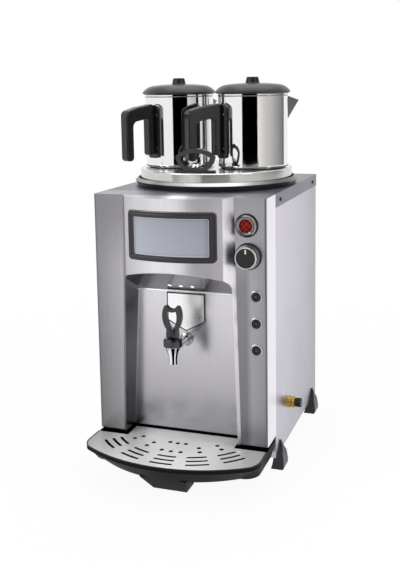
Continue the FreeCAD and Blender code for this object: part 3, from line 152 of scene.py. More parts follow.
# %% Starting a group
def start_group(name, inputs, outputs):
    """A node group with named inputs (with defaults) and named number outputs."""
    tree = bpy.data.node_groups.new(name, "ShaderNodeTree")
    kinds = {float: "NodeSocketFloat", tuple: "NodeSocketVector"}
    for label, value in inputs.items():
        socket = tree.interface.new_socket(label, in_out="INPUT", socket_type=kinds[type(value)])
        socket.default_value = value
    for label in outputs:
        tree.interface.new_socket(label, in_out="OUTPUT", socket_type="NodeSocketFloat")
    return tree, tree.nodes.new("NodeGroupInput"), tree.nodes.new("NodeGroupOutput")


def noise_between(tree, vector, low, high, **noise):
    """Noise read along vector and spread between two values."""
    speckle = add_node(tree, "ShaderNodeTexNoise", Vector=vector, **noise)
    return spread(tree, speckle.outputs["Fac"], 0.3, 0.7, low, high)


def around_one(tree, amount):
    """The two limits one minus and one plus an amount."""
    return maths(tree, "SUBTRACT", 1.0, amount), maths(tree, "ADD", 1.0, amount)


# %% [markdown]
# Brushed sheet is covered with fine scratches that all run one way. Noise that is squeezed along
# one axis and stretched along another gives the same streaks. The group reads object
# coordinates, so the grain stays put when the piece moves.

# %% Group: brushed grain
grain, entry, end = start_group(
    "brushed grain", {"Stretch": (400.0, 400.0, 6.0), "Depth": 0.1}, ["Tone", "Height"])
squeezed = add_node(grain, "ShaderNodeVectorMath", {"operation": "MULTIPLY"})
grain.links.new(place_on_piece(grain), squeezed.inputs[0])
grain.links.new(entry.outputs["Stretch"], squeezed.inputs[1])
less, more = around_one(grain, entry.outputs["Depth"])
streaks = noise_between(grain, squeezed.outputs[0], less, more, Scale=1.0, Detail=3.0, Roughness=0.65)
grain.links.new(streaks, end.inputs["Tone"])
grain.links.new(streaks, end.inputs["Height"])

# %% [markdown]
# Hands and steam leave cloudy marks that change how sharp a reflection is. A slow noise, a few
# centimetres across, stands for them and is mixed into the roughness.

# %% Group: handling marks
marks, entry, end = start_group("handling marks", {"Size": 12.0, "Amount": 0.1}, ["Tone"])
less, more = around_one(marks, entry.outputs["Amount"])
clouds = noise_between(marks, place_on_piece(marks), less, more,
                       Scale=entry.outputs["Size"], Detail=4.0, Roughness=0.55)
marks.links.new(clouds, end.inputs["Tone"])

# %% [markdown]
# Moulded plastic takes a fine spark-eroded texture from its tool. A small, even noise gives it a
# height for the bump and a little change of tone.

# %% Group: moulded texture
mould, entry, end = start_group("moulded texture", {"Size": 900.0, "Depth": 0.1}, ["Tone", "Height"])
less, more = around_one(mould, entry.outputs["Depth"])
pits = noise_between(mould, place_on_piece(mould), less, more,
                     Scale=entry.outputs["Size"], Detail=2.0, Roughness=0.5)
mould.links.new(pits, end.inputs["Tone"])
mould.links.new(pits, end.inputs["Height"])

# %% [markdown]
# The lens of an indicator is cut into a grid of small prisms that scatter the light. Two waves
# crossed at a right angle, one along the width and one along the height, give the grid.

# %% Group: prism grid
prisms, entry, end = start_group("prism grid", {"Pitch": 0.003, "Depth": 0.3}, ["Tone", "Height"])
axes = axes_of(prisms)
turns = maths(prisms, "DIVIDE", 2 * math.pi, entry.outputs["Pitch"])
across = maths(prisms, "SINE", maths(prisms, "MULTIPLY", axes["X"], turns))
upward = maths(prisms, "SINE", maths(prisms, "MULTIPLY", axes["Z"], turns))
peaks = maths(prisms, "MULTIPLY", across, upward)
less, more = around_one(prisms, entry.outputs["Depth"])
prisms.links.new(spread(prisms, peaks, -1.0, 1.0, less, more), end.inputs["Tone"])
prisms.links.new(peaks, end.inputs["Height"])
print("groups:", [g.name for g in bpy.data.node_groups])

# %% [markdown]
# A material starts from a Principled shader. Metal has Metallic at one and takes its colour from
# the base colour. Tone from the groups multiplies that colour, and their height feeds a bump.

# %% Material helpers
def new_material(name, roughness, metallic=0.0, coat=0.0, specular=0.5):
    material = bpy.data.materials.new(name)
    material.use_nodes = True
    tree = material.node_tree
    shader = tree.nodes["Principled BSDF"]
    for label, value in (("Roughness", roughness), ("Metallic", metallic), ("Coat Weight", coat),
                         ("Specular IOR Level", specular)):
        shader.inputs[label].default_value = value
    return material, tree, shader


def use_group(tree, group, **inputs):
    """Place a group, set its inputs and give back its outputs."""
    node = tree.nodes.new("ShaderNodeGroup")
    node.node_tree = group
    for key, value in inputs.items():
        node.inputs[key].default_value = value
    return node.outputs


def tinted(tree, colour, *tones):
    """A colour, given as a socket or three numbers, multiplied by each tone in turn."""
    for tone in tones:
        node = add_node(tree, "ShaderNodeVectorMath", {"operation": "SCALE"}, Scale=tone)
        set_or_link(tree, node.inputs[0], colour)
        colour = node.outputs[0]
    return colour


def bump(tree, shader, height, strength, distance=0.0004):
    node = add_node(tree, "ShaderNodeBump", Strength=strength, Distance=distance, Height=height)
    tree.links.new(node.outputs["Normal"], shader.inputs["Normal"])


def glow(tree, shader, colour, strength):
    """One colour for the surface and for the light it gives off."""
    tree.links.new(colour, shader.inputs["Base Color"])
    tree.links.new(colour, shader.inputs["Emission Color"])
    shader.inputs["Emission Strength"].default_value = strength


def cloudy_gloss(tree, shader, roughness, size, amount):
    """Handling marks, mixed into a roughness."""
    cloud = use_group(tree, marks, Size=size, Amount=amount)
    tree.links.new(maths(tree, "MULTIPLY", cloud["Tone"], roughness), shader.inputs["Roughness"])


# %% [markdown]
# Brushed sheet, polished metal and moulded plastic each get a function, because many pieces share
# them and differ only in colour, roughness and the run of the grain.

# %% Kinds of finish
def finish_sheet(tree, shader, colour, tones, roughness, stretch,
                 depth=0.05, relief=0.05, clouds=0.12):
    """Streaks in the colour and the bump, clouds in the gloss."""
    lines = use_group(tree, grain, Stretch=stretch, Depth=depth)
    tree.links.new(tinted(tree, colour, lines["Tone"], *tones), shader.inputs["Base Color"])
    cloudy_gloss(tree, shader, roughness, 9.0, clouds)
    bump(tree, shader, lines["Height"], relief)


upright_grain = (900.0, 900.0, 9.0)
level_grain = (9.0, 9.0, 900.0)
round_grain = (60.0, 60.0, 900.0)


def brushed(name, colour, roughness, stretch):
    """Brushed sheet of one colour."""
    material, tree, shader = new_material(name, roughness, 1.0)
    finish_sheet(tree, shader, colour, [], roughness, stretch, relief=0.06)
    return material


def polished(name, colour, roughness):
    """Polished or plated metal: a clean mirror with faint wiping marks."""
    material, tree, shader = new_material(name, roughness, 1.0)
    faint = use_group(tree, marks, Size=5.0, Amount=0.02)
    tree.links.new(tinted(tree, colour, faint["Tone"]), shader.inputs["Base Color"])
    cloudy_gloss(tree, shader, roughness, 14.0, 0.25)
    return material


def moulded(name, colour, roughness, depth=0.12, relief=0.12, size=1400.0, coat=0.0, specular=0.3):
    """Moulded plastic with a fine tool texture."""
    material, tree, shader = new_material(name, roughness, 0.0, coat, specular)
    pitted = use_group(tree, mould, Size=size, Depth=depth)
    tree.links.new(tinted(tree, colour, pitted["Tone"]), shader.inputs["Base Color"])
    cloudy_gloss(tree, shader, roughness, 11.0, 0.1)
    bump(tree, shader, pitted["Height"], relief, 0.0003)
    return material


def dress(material, *names):
    """Put one material on whole nodes of the frame."""
    for name in names:
        slots = nodes[name].data.materials
        slots.clear()
        slots.append(material)


# %% [markdown]
# The fascia is one folded sheet: a bowed bay between flat pillars, with folded returns at its
# sides. Its colour holds painted light: the bay is lighter than the pillars as a painted
# reflection, a painted dark and light band runs down the right pillar, the left pillar and the
# returns carry a painted highlight, and painted shade lies at the rolled edges, on the bay's left
# side and towards the tray. The colour follows where a point lies on the sheet: how far it stands
# proud of the pillars, how far out from the middle and how high.

# %% Finish: fascia
def from_the_middle(tree, axes):
    """How far a point lies to the left or right of the urn's middle plane."""
    return maths(tree, "ABSOLUTE", maths(tree, "SUBTRACT", axes["X"], middle_x))


middle_x = -0.007
half_width = 0.18
pillar_front = -0.1705
material, tree, shader = new_material("fascia sheet", 0.3, 1.0)
axes = axes_of(tree)
out_from_middle = from_the_middle(tree, axes)
proud = spread(tree, axes["Y"], pillar_front + 0.0004, pillar_front - 0.0016, 0.0, 1.0)
# Painted shade: the pillars darken towards the tray.
pillar_painted_light = spread(tree, axes["Z"], 0.12, 0.50, 0.19, 0.29)
# Painted reflection: a dark and then a light band down the right pillar, giving way to an even tone high
# up.
inner_painted_reflection = spread(tree, axes["X"], 0.1305, 0.142, 0.54, 1.42)
outer_painted_shade = spread(tree, axes["X"], 0.142, 0.168, 1.0, 0.76)
right_painted_reflection = maths(tree, "MULTIPLY", inner_painted_reflection, outer_painted_shade)
above_painted_reflection = spread(tree, axes["Z"], 0.40, 0.47, 0.0, 1.0)
right_painted_reflection = blend_values(tree, above_painted_reflection, right_painted_reflection, 1.12)
# Painted highlight: the left pillar lightens towards its inner edge, most of all low down.
left_painted_highlight = spread(tree, axes["Z"], 0.42, 0.53, 1.90, 1.0)
left_painted_light = spread(tree, axes["X"], -0.186, -0.118, 0.82, left_painted_highlight)
on_the_left = spread(tree, axes["X"], -0.05, 0.0, 1.0, 0.0)
pillar_painted_light = maths(tree, "MULTIPLY", pillar_painted_light, blend_values(tree, on_the_left, right_painted_reflection, left_painted_light))
# Painted shade at the rolled outer edges, and a painted highlight on the folded returns.
rolled_edge_painted_shade = spread(tree, out_from_middle, half_width - 0.0065, half_width - 0.0040, 1.0, 0.65)
pillar_painted_light = maths(tree, "MULTIPLY", pillar_painted_light, rolled_edge_painted_shade)
returns_painted_highlight = spread(tree, out_from_middle, half_width - 0.0016, half_width - 0.0006, 0.0, 1.0)
pillar_painted_light = blend_values(tree, returns_painted_highlight, pillar_painted_light, 0.86)
# Painted shade: the bay darkens towards the tray and towards its left side.
bay = spread(tree, axes["Z"], 0.10, 0.36, 0.50, 0.82)
shaded_side = spread(tree, axes["X"], -0.112, -0.040, 0.60, 1.0)
bay = maths(tree, "MULTIPLY", bay, shaded_side)
tone = blend_values(tree, proud, pillar_painted_light, bay)
finish_sheet(tree, shader, (1.0, 0.974, 1.03), [tone], 0.3, upright_grain, depth=0.06)
dress(material, "fascia")

# %% [markdown]
# The alcove's back is polished until it mirrors the tray. Its colour is painted lighter high up,
# under the lamps, and darker low down, and its sloping ceiling and side walls are painted darker,
# as the shade inside the recess.

# %% Finish: alcove
alcove_back = -0.1305
material, tree, shader = new_material("liner sheet", 0.24, 1.0)
axes = axes_of(tree)
walls = spread(tree, axes["Y"], alcove_back - 0.0006, alcove_back - 0.0030, 0.0, 1.0)
# Painted shade inside the recess: the back darker low down, the ceiling and walls darker still.
back_painted_shade = spread(tree, axes["Z"], 0.10, 0.36, 0.33, 0.72)
wall_painted_shade = spread(tree, axes["Z"], 0.10, 0.40, 0.12, 0.20)
tone = blend_values(tree, walls, back_painted_shade, wall_painted_shade)
finish_sheet(tree, shader, (1.0, 0.974, 1.04), [tone], 0.24, upright_grain, 0.03, 0.02, 0.15)
dress(material, "alcove_liner")

# %% [markdown]
# The side sheets have a violet cast, from the heat treatment of this kind of steel, and they are
# darker low down and towards the back.

# %% Finish: sides and back
material, tree, shader = new_material("side sheet", 0.3, 1.0)
axes = axes_of(tree)
darker_back = spread(tree, axes["Y"], -0.06, 0.28, 1.0, 0.62)
darker_low = spread(tree, axes["Z"], 0.05, 0.38, 0.80, 1.0)
finish_sheet(tree, shader, (0.60, 0.572, 0.66), [darker_back, darker_low], 0.3, upright_grain)
dress(material, "side_panel_left", "side_panel_right", "back_panel")

# %% [markdown]
# The cabinet's other sheets have one finish each. A mask isn't needed there, so one helper makes
# them all, with the grain turned the way each sheet was brushed.

# %% Finish: other sheet metal
dress(brushed("top sheet", (0.145, 0.135, 0.185), 0.34, level_grain), "top_panel")
dress(brushed("base sheet", (0.22, 0.22, 0.23), 0.45, level_grain), "base_pan")
dress(brushed("cover sheet", (0.60, 0.60, 0.59), 0.15, round_grain), "steam_lid")
dress(brushed("tank sheet", (0.66, 0.66, 0.65), 0.4, round_grain),
      "tank", "drain_pipe", "heating_element")
dress(brushed("shaft steel", (0.40, 0.40, 0.40), 0.3, round_grain),
      "thermostat_shaft", "tap_stem", "tap_spring", "lever_pin")
dress(brushed("dark screws", (0.07, 0.07, 0.08), 0.4, round_grain), "cabinet_screws")

# %% [markdown]
# The walls of the holes in the drip plate are painted dark, as the shade inside the holes, and the
# plate is darker towards its ends than in its middle. The collar is painted dark below, as shade
# and a dark reflection, and its sloping upper face has a painted highlight at the front.

# %% Finish: drip plate and collar
material, tree, shader = new_material("drip sheet", 0.4, 0.35)
axes = axes_of(tree)
# Painted shade: the walls of the holes are dark, as the shade inside them.
hole_painted_shade = spread(tree, maths(tree, "ABSOLUTE", axes_of(tree, "Normal")["Z"]), 0.5, 0.8, 0.02, 1.0)
left_end = spread(tree, axes["X"], -0.187, -0.075, 0.36, 1.0)
right_end = spread(tree, axes["X"], 0.070, 0.165, 1.0, 0.55)
finish_sheet(tree, shader, (0.97, 0.98, 0.97), [hole_painted_shade, left_end, right_end], 0.4, level_grain)
dress(material, "drip_plate")

material, tree, shader = new_material("collar sheet", 0.3, 1.0)
axes = axes_of(tree)
# Painted light: dark below as shade and a dark reflection, with a painted highlight at the front of the
# slope that fades towards the sides.
slope = spread(tree, axes["Z"], 0.5812, 0.5820, 0.0, 1.0)
painted_front_highlight = spread(tree, from_the_middle(tree, axes), 0.09, 0.155, 0.50, 0.14)
tone = blend_values(tree, slope, 0.09, painted_front_highlight)
finish_sheet(tree, shader, (1.0, 1.0, 0.99), [tone], 0.3, round_grain)
dress(material, "tank_collar")

# %% [markdown]
# The teapots and the small bright fittings are polished until they mirror the studio.

# %% Finish: polished metal
dress(polished("shield polish", (0.97, 0.97, 0.98), 0.28), "shield_plate")
dress(polished("plated brass", (0.80, 0.80, 0.81), 0.06), "tap_body", "handle_nut")
dress(polished("rim plating", (0.62, 0.61, 0.60), 0.22), "knob_rim")
dress(polished("smoked plating", (0.075, 0.07, 0.075), 0.2), "tap_bonnet")
dress(polished("worn plating", (0.30, 0.29, 0.30), 0.14), "tap_rosette")
dress(polished("ring plating", (0.30, 0.28, 0.28), 0.16), "switch_housing")
dress(polished("button plating", (0.45, 0.45, 0.45), 0.32), "button_rings")
# The brass is its own yellow, darkened further as painted shade.
dress(polished("bare brass", (0.55, 0.38, 0.09), 0.26), "drain_valve", "tap_nuts")

# %% [markdown]
# The beak of each pot is pressed from thinner sheet and isn't polished after it is welded on, so
# it stays darker. The distance from the pot's own axis tells beak from body, and both pots share
# the material because they stand equally far left and right of the middle.

# %% Finish: teapots
pot_out = 0.0843
pot_back = 0.0755
pot_radius = 0.075
material, tree, shader = new_material("pot polish", 0.06, 1.0)
axes = axes_of(tree)
side_way = maths(tree, "SUBTRACT", from_the_middle(tree, axes), pot_out)
depth_way = maths(tree, "SUBTRACT", axes["Y"], pot_back)
squares = maths(tree, "ADD", maths(tree, "MULTIPLY", side_way, side_way),
                maths(tree, "MULTIPLY", depth_way, depth_way))
beak = spread(tree, maths(tree, "SQRT", squares), pot_radius + 0.001, pot_radius + 0.003, 0.0, 1.0)
faint = use_group(tree, marks, Size=5.0, Amount=0.02)
tone = blend_values(tree, beak, 0.84, 0.16)
tree.links.new(tinted(tree, (1.0, 1.0, 1.0), tone, faint["Tone"]), shader.inputs["Base Color"])
cloudy_gloss(tree, shader, blend_values(tree, beak, 0.06, 0.30), 14.0, 0.25)
dress(material, "pot_left", "pot_right")

# %% [markdown]
# Plastics and soft parts differ only in tone, gloss and texture, so one function makes them all.
# The handles are the glossiest and the felt round the tank is the roughest.

# %% Finish: plastics and soft parts
dress(moulded("boot plastic", (0.016, 0.016, 0.017), 0.36, specular=0.4),
      "corner_feet", "switch_gasket", "cable_gland", "drain_cap")
dress(moulded("tray plastic", (0.008, 0.008, 0.008), 0.5, specular=0.04), "drip_tray")
dress(moulded("handle plastic", (0.013, 0.013, 0.013), 0.22, relief=0.05, specular=0.45),
      "pot_left_handle", "pot_right_handle", "handle_base")
dress(moulded("lever plastic", (0.030, 0.030, 0.031), 0.24, relief=0.05, specular=0.45),
      "tap_lever", "lid_handle")
dress(moulded("bezel plastic", (0.030, 0.027, 0.031), 0.32, specular=0.35), "display_bezel")
dress(moulded("knob plastic", (0.016, 0.016, 0.014), 0.28), "thermostat_knob")
dress(moulded("cap plastic", (0.005, 0.005, 0.005), 0.3, specular=0.06),
      "push_button_1", "push_button_2", "push_button_3")
dress(moulded("lid knob plastic", (0.008, 0.008, 0.008), 0.24, specular=0.2),
      "pot_left_knob", "pot_right_knob")
dress(moulded("lid coating", (0.030, 0.030, 0.030), 0.30, depth=0.05, relief=0.05),
      "pot_left_lid", "pot_right_lid")
dress(moulded("white moulding", (0.75, 0.75, 0.75), 0.4),
      "knob_pointer", "thermostat_body", "terminal_block")
dress(moulded("thermostat shell", (0.03, 0.02, 0.015), 0.45), "limit_thermostat")
dress(moulded("seal rubber", (0.25, 0.06, 0.04), 0.6), "collar_gasket", "seat_cup")
dress(moulded("jacket felt", (0.70, 0.68, 0.62), 0.95, depth=0.3, relief=0.6, size=300.0), "tank_jacket")

# %% [markdown]
# The power button is a translucent red cap over a small lamp. Its prisms catch the light as a
# fine grid, and a faint glow keeps the red alive in the shade of its ring.

# %% Finish: red cap
material, tree, shader = new_material("red cap", 0.2, 0.0, 0.0, 0.15)
cells = use_group(tree, prisms, Pitch=0.0105, Depth=0.8)
cloud = use_group(tree, marks, Size=160.0, Amount=0.5)
glow(tree, shader, tinted(tree, (0.17, 0.007, 0.006), cells["Tone"], cloud["Tone"]), 0.2)
bump(tree, shader, cells["Height"], 0.25)
dress(material, "power_button")

# %% [markdown]
# The screen is a silver film behind glass, with a blue cast. Painted shade darkens it towards the
# right and towards the top.

# %% Finish: screen
material, tree, shader = new_material("screen film", 0.40, 0.0, 0.0, 0.3)
axes = axes_of(tree)
# Painted shade: darker towards the right and towards the top.
right_painted_shade = spread(tree, axes["X"], -0.085, 0.070, 1.10, 0.82)
top_painted_shade = spread(tree, axes["Z"], 0.46, 0.53, 1.08, 0.92)
dots = use_group(tree, mould, Size=2600.0, Depth=0.04)
film = tinted(tree, (0.40, 0.42, 0.48), right_painted_shade, top_painted_shade, dots["Tone"])
tree.links.new(film, shader.inputs["Base Color"])
bump(tree, shader, dots["Height"], 0.02, 0.0002)
dress(material, "display_panel")

# %% [markdown]
# Three small lamps light the alcove from its ceiling. Their lenses glow, so they stay white
# against the dark metal round them.

# %% Finish: lamp lenses
material, tree, shader = new_material("lamp lens", 0.25, 0.0, 0.3)
cells = use_group(tree, prisms, Pitch=0.0012, Depth=0.12)
glow(tree, shader, tinted(tree, (0.95, 0.96, 1.0), cells["Tone"]), 0.9)
dress(material, "lamp_lenses")

# %% [markdown]
# The rest of the lesson adds small parts that the frame doesn't have: edgings, gaskets, beads,
# rivets and dark bars that paint the shade in drive recesses. Each is built as loose faces,
# cleaned, turned into an object and made to ride on the body that carries it.

# %% Handing over a small part
def hand_over(name, build, material, body, smooth=True):
    """Make an object of a finished build, dress it and let it ride on a body."""
    mesh = mesh_from(name, build)
    for face in mesh.polygons:
        face.use_smooth = smooth
    mesh.materials.append(material)
    thing = put_in_scene(name, mesh)
    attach(thing, body)


def mesh_from(name, build):
    """A mesh with clean outward faces and sharp edges where its faces meet steeply."""
    smooth_angle = math.radians(35.0)
    bmesh.ops.remove_doubles(build, verts=build.verts, dist=1e-6)
    bmesh.ops.recalc_face_normals(build, faces=build.faces)
    for edge in build.edges:
        if len(edge.link_faces) == 2:
            edge.smooth = edge.calc_face_angle(0.0) < smooth_angle
    mesh = bpy.data.meshes.new(name)
    build.to_mesh(mesh)
    build.free()
    return mesh


# %% [markdown]
# Three tools make nearly all of the parts. The first turns a profile about an axis, as a lathe
# does.

# %% Turning tool
def add_rings(build, rings, closed_round, closed_along):
    """Join rows of points into a skin. Rows may close on themselves and on each other."""
    rows = [[build.verts.new(p) for p in ring] for ring in rings]
    count = len(rows[0])
    last = len(rows) if closed_along else len(rows) - 1
    for i in range(last):
        row, following = rows[i], rows[(i + 1) % len(rows)]
        for j in range(count if closed_round else count - 1):
            k = (j + 1) % count
            build.faces.new((row[j], row[k], following[k], following[j]))
    if not closed_along:
        build.faces.new(rows[0])
        build.faces.new(list(reversed(rows[-1])))


def side_ways(out):
    """Two directions that stand square to a given one."""
    helper = Vector((0, 0, 1)) if abs(out.z) < 0.9 else Vector((1, 0, 0))
    first = out.cross(helper).normalized()
    return first, out.cross(first).normalized()


def add_turned(build, profile, at, out, steps):
    """Turn a closed profile of (radius, height) pairs about a line through at."""
    out = Vector(out).normalized()
    first, second = side_ways(out)
    rings = []
    for i in range(steps):
        turn = 2 * math.pi * i / steps
        spoke = first * math.cos(turn) + second * math.sin(turn)
        rings.append([Vector(at) + spoke * r + out * h for r, h in profile])
    add_rings(build, rings, True, True)


def ring_profile(inner, outer, low, high, soft=0.3):
    """A flat ring's section with its two upper corners cut back."""
    cut = min(outer - inner, high - low) * soft
    return [(inner, low), (outer, low), (outer, high - cut), (outer - cut, high),
            (inner + cut, high), (inner, high - cut)]


def turned_part(name, profile, at, out, steps, material, body):
    """A small part that is turned in one go."""
    build = bmesh.new()
    add_turned(build, profile, at, out, steps)
    hand_over(name, build, material, body)


# %% [markdown]
# The second tool lays a section along an outline, as an edging strip is pushed on to the rim of a
# sheet. At each corner the section is stretched so that its sides stay parallel.

# %% Edging tool
def add_edging(build, outline, up, section, closed):
    """Carry a closed section of (outward, upward) pairs along an outline that runs anticlockwise."""
    up = Vector(up).normalized()
    points = [Vector(p) for p in outline]
    count = len(points)
    rings = []
    for i, point in enumerate(points):
        before = points[i - 1] if closed or i > 0 else None
        after = points[(i + 1) % count] if closed or i < count - 1 else None
        runs = []
        if before is not None:
            runs.append((point - before).normalized())
        if after is not None:
            runs.append((after - point).normalized())
        ways = [run.cross(up).normalized() for run in runs]
        outward = sum(ways, Vector((0, 0, 0))).normalized()
        stretch = 1.0 / max(0.5, outward.dot(ways[0]))
        rings.append([point + outward * o * stretch + up * h for o, h in section])
    add_rings(build, rings, True, closed)


def edging_part(name, outline, up, section, closed, material, body):
    """A small part that is one edging."""
    build = bmesh.new()
    add_edging(build, outline, up, section, closed)
    hand_over(name, build, material, body)


def rounded_corners(x0, x1, z0, z1, r, steps=6):
    """A rounded rectangle seen from the front, anticlockwise for someone facing the urn."""
    spots = []
    corners = ((x1 - r, z0 + r, -90), (x1 - r, z1 - r, 0), (x0 + r, z1 - r, 90), (x0 + r, z0 + r, 180))
    for cx, cz, start in corners:
        for i in range(steps + 1):
            turn = math.radians(start + 90 * i / steps)
            spots.append((cx + r * math.cos(turn), cz + r * math.sin(turn)))
    return spots


# %% [markdown]
# Long straight runs of an outline need points in between before they can follow a bowed sheet.

# %% Spacing tool
def spaced(outline, step=0.008):
    """The points of a closed flat outline, with more of them wherever they lie far apart."""
    dense = []
    for i, (x, z) in enumerate(outline):
        next_x, next_z = outline[(i + 1) % len(outline)]
        parts = max(1, int(math.hypot(next_x - x, next_z - z) / step))
        dense += [(x + (next_x - x) * k / parts, z + (next_z - z) * k / parts) for k in range(parts)]
    return dense


# %% [markdown]
# The third tool feels for a surface: it sends a ray at a node of the frame and gives back the
# place and the direction that the surface faces. Small parts then sit on what carries them.

# %% Feeling for a surface
def feel(node_name, start, way):
    hit, place, facing, _ = nodes[node_name].ray_cast(Vector(start), Vector(way).normalized())
    if not hit:
        raise ValueError("nothing of " + node_name + " lies that way")
    return place, facing


def front_of(node_name, x, z):
    return feel(node_name, (x, -0.6, z), (0, 1, 0))[0]


print("bay front at the middle:", [round(v, 4) for v in front_of("fascia", middle_x, 0.565)])

# %% [markdown]
# The small parts get finishes of their own from the same functions.

# %% Finishes for the small parts
edge_rubber = moulded("edge rubber", (0.008, 0.008, 0.008), 0.45, specular=0.25)
bright_trim = polished("bright trim", (0.86, 0.86, 0.87), 0.16)
satin_trim = brushed("satin trim", (0.50, 0.50, 0.50), 0.3, round_grain)
# Dark joints and seals, and painted shade in grooves, recesses and round the knob's foot.
dark_joint_and_shade = moulded("dark joints and painted shade", (0.020, 0.020, 0.022), 0.6, specular=0.2)
gloss_black = moulded("gloss black", (0.008, 0.008, 0.008), 0.12, relief=0.02, coat=0.4)
cap_shine = moulded("cap shine", (0.030, 0.030, 0.026), 0.10, relief=0.02, coat=0.4, specular=0.5)
pale_frame = moulded("pale frame", (0.72, 0.72, 0.76), 0.35)
rivet_steel = polished("rivet steel", (0.42, 0.42, 0.43), 0.25)
# Painted shade: the rim beads' steel is dark, as the shade under the lids.
bead_steel_painted_shade = polished("bead steel in painted shade", (0.20, 0.20, 0.20), 0.25)
louvre_sheet = brushed("louvre sheet", (0.40, 0.385, 0.43), 0.34, level_grain)

# %% [markdown]
# A black edging is pushed on to the free rim of the drip plate. It keeps the sheet from rattling
# and gives the tray its dark outline. The plate's own outline is read from its mesh, as the
# convex line round its points in front of the pillars.

# %% Drip plate edging
plate_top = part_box("drip_plate")[1].z
plate_points = sorted({(round(v.co.x, 5), round(v.co.y, 5)) for v in nodes["drip_plate"].data.vertices})
hull = [plate_points[i] for i in convex_hull_2d(plate_points)]
free_rim = [p for p in hull if p[1] < pillar_front - 0.0105]
start = max(range(len(free_rim)), key=lambda i: (free_rim[i][0] < middle_x, free_rim[i][1]))
free_rim = free_rim[start:] + free_rim[:start]
edging_part("plate_edging", [(x, y, plate_top) for x, y in free_rim], (0, 0, 1),
            [(0.0002, -0.0013), (0.0002, 0.0004), (-0.0004, 0.0009), (-0.0014, 0.0009), (-0.0020, 0.0003),
             (-0.0020, 0.0001), (0.0, 0.0001), (0.0, -0.0013)],
            False, edge_rubber, "plate")
print("the edging has", len(free_rim), "stations")

# %% [markdown]
# The pointed shield sits in a thin black gasket that keeps steam from creeping behind it.

# %% Shield gasket
low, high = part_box("shield_plate")
shoulder = 0.3126
shield_outline = [(low.x, shoulder), (middle_x, low.z), (high.x, shoulder), (high.x, high.z),
                  (low.x, high.z)]
edging_part("shield_gasket", [(x, low.y, z) for x, z in shield_outline], (0, -1, 0),
            [(0.0, -0.0025), (0.0016, -0.0025), (0.0014, 0.0002), (0.0008, 0.0007), (-0.0004, 0.0006),
             (-0.0007, 0.0001), (0.0, 0.0001)], True, edge_rubber, "cabinet")

# %% [markdown]
# The screen lies in a pale frame inside the dark bezel, and a thin dark seal lies round the bezel
# where it meets the bay. Both follow the bow of the sheet, found by feeling for it at each point.

# %% Screen frame and bezel seal
low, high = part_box("display_bezel")
bar = 0.012
window = rounded_corners(low.x + bar, high.x - bar, low.z + bar * 0.92, high.z - bar * 0.92, 0.002, 3)
inset = 0.0012
centre = (low + high) / 2
frame_line = []
for x, z in spaced(window):
    pull_x = x + (centre.x - x) * inset / (high.x - low.x) * 2
    pull_z = z + (centre.z - z) * inset / (high.z - low.z) * 2
    frame_line.append(front_of("display_panel", pull_x, pull_z))
edging_part("screen_frame", frame_line, (0, -1, 0),
            [(0.0011, -0.0002), (0.0011, 0.0004), (0.0007, 0.0007), (-0.0004, 0.0007), (-0.0008, 0.0003),
             (-0.0008, -0.0002)], True, pale_frame, "cabinet")

outer = rounded_corners(low.x - 0.0004, high.x + 0.0004, low.z + 0.0012, high.z + 0.0009, 0.0072, 6)
rim_line = [front_of("fascia", x, z) for x, z in spaced(outer)]
edging_part("bezel_seal", rim_line, (0, -1, 0),
            [(0.0008, -0.0002), (0.0007, 0.0004), (0.0003, 0.0007), (-0.0001, 0.0004), (-0.0001, -0.0002)],
            True, dark_joint_and_shade, "cabinet")

# %% [markdown]
# The bezel isn't flat: a low ridge runs along the middle of its bars, so its edges catch light.

# %% Bezel ridge
ridge = rounded_corners(low.x + bar / 2, high.x - bar / 2, low.z + bar / 2, high.z - bar / 2, 0.004, 5)
ridge_line = [front_of("display_bezel", x, z) for x, z in spaced(ridge)]
edging_part("bezel_ridge", ridge_line, (0, -1, 0),
            [(0.0026, -0.0002), (0.0014, 0.0006), (-0.0014, 0.0006), (-0.0026, -0.0002)], True,
            bpy.data.materials["bezel plastic"], "cabinet")

# %% [markdown]
# The lever's neck is closed in front by a rounded cover that hides the stem and the pin.

# %% Lever cover
low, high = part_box("tap_lever")
cover_x = (low.x + high.x) / 2
cover_start = 0.2997
cover_length = 0.0178
steps = 8
build = bmesh.new()
rows = []
for i in range(steps + 1):
    share = i / steps
    z = cover_start + cover_length * share
    half_wide = 0.0068 - 0.0010 * share
    swell = 0.0014 * math.sin(math.pi * (0.12 + 0.76 * share))
    row = []
    for k in range(steps + 1):
        turn = math.pi * k / steps
        row.append((cover_x - half_wide * math.cos(turn), low.y - 0.0001 - swell * math.sin(turn), z))
    row.append((cover_x + half_wide, low.y + 0.0004, z))
    row.append((cover_x - half_wide, low.y + 0.0004, z))
    rows.append(row)
add_rings(build, rows, True, False)
hand_over("lever_cover", build, gloss_black, "lever")

# %% [markdown]
# The back wall of the alcove ends in a bright folded hem below its sloping ceiling.

# %% Alcove hem
hem_z = 0.3717
hem_start = -0.110
hem_length = 0.200
hem = [front_of("alcove_liner", hem_start + hem_length * i / 24, hem_z) for i in range(25)]
edging_part("alcove_hem", hem, (0, -1, 0),
            [(0.0009, -0.0002), (0.0008, 0.0003), (0.0, 0.0006), (-0.0008, 0.0003), (-0.0009, -0.0002)],
            False, bright_trim, "cabinet")

# %% [markdown]
# Each of the three lamps is held by a small pressed ring.

# %% Lamp rings
build = bmesh.new()
lamp_low, lamp_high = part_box("lamp_lenses")
for x in (lamp_low.x + 0.0035, middle_x, lamp_high.x - 0.0035):
    place, facing = feel("alcove_liner", (x + 0.0060, -0.1575, 0.34), (0, 0, 1))
    way = facing if facing.z < 0 else -facing
    centre = Vector((x, place.y, place.z))
    add_turned(build, ring_profile(0.0037, 0.0052, -0.0004, 0.0009), centre, way, 32)
hand_over("lamp_rings", build, bright_trim, "cabinet")

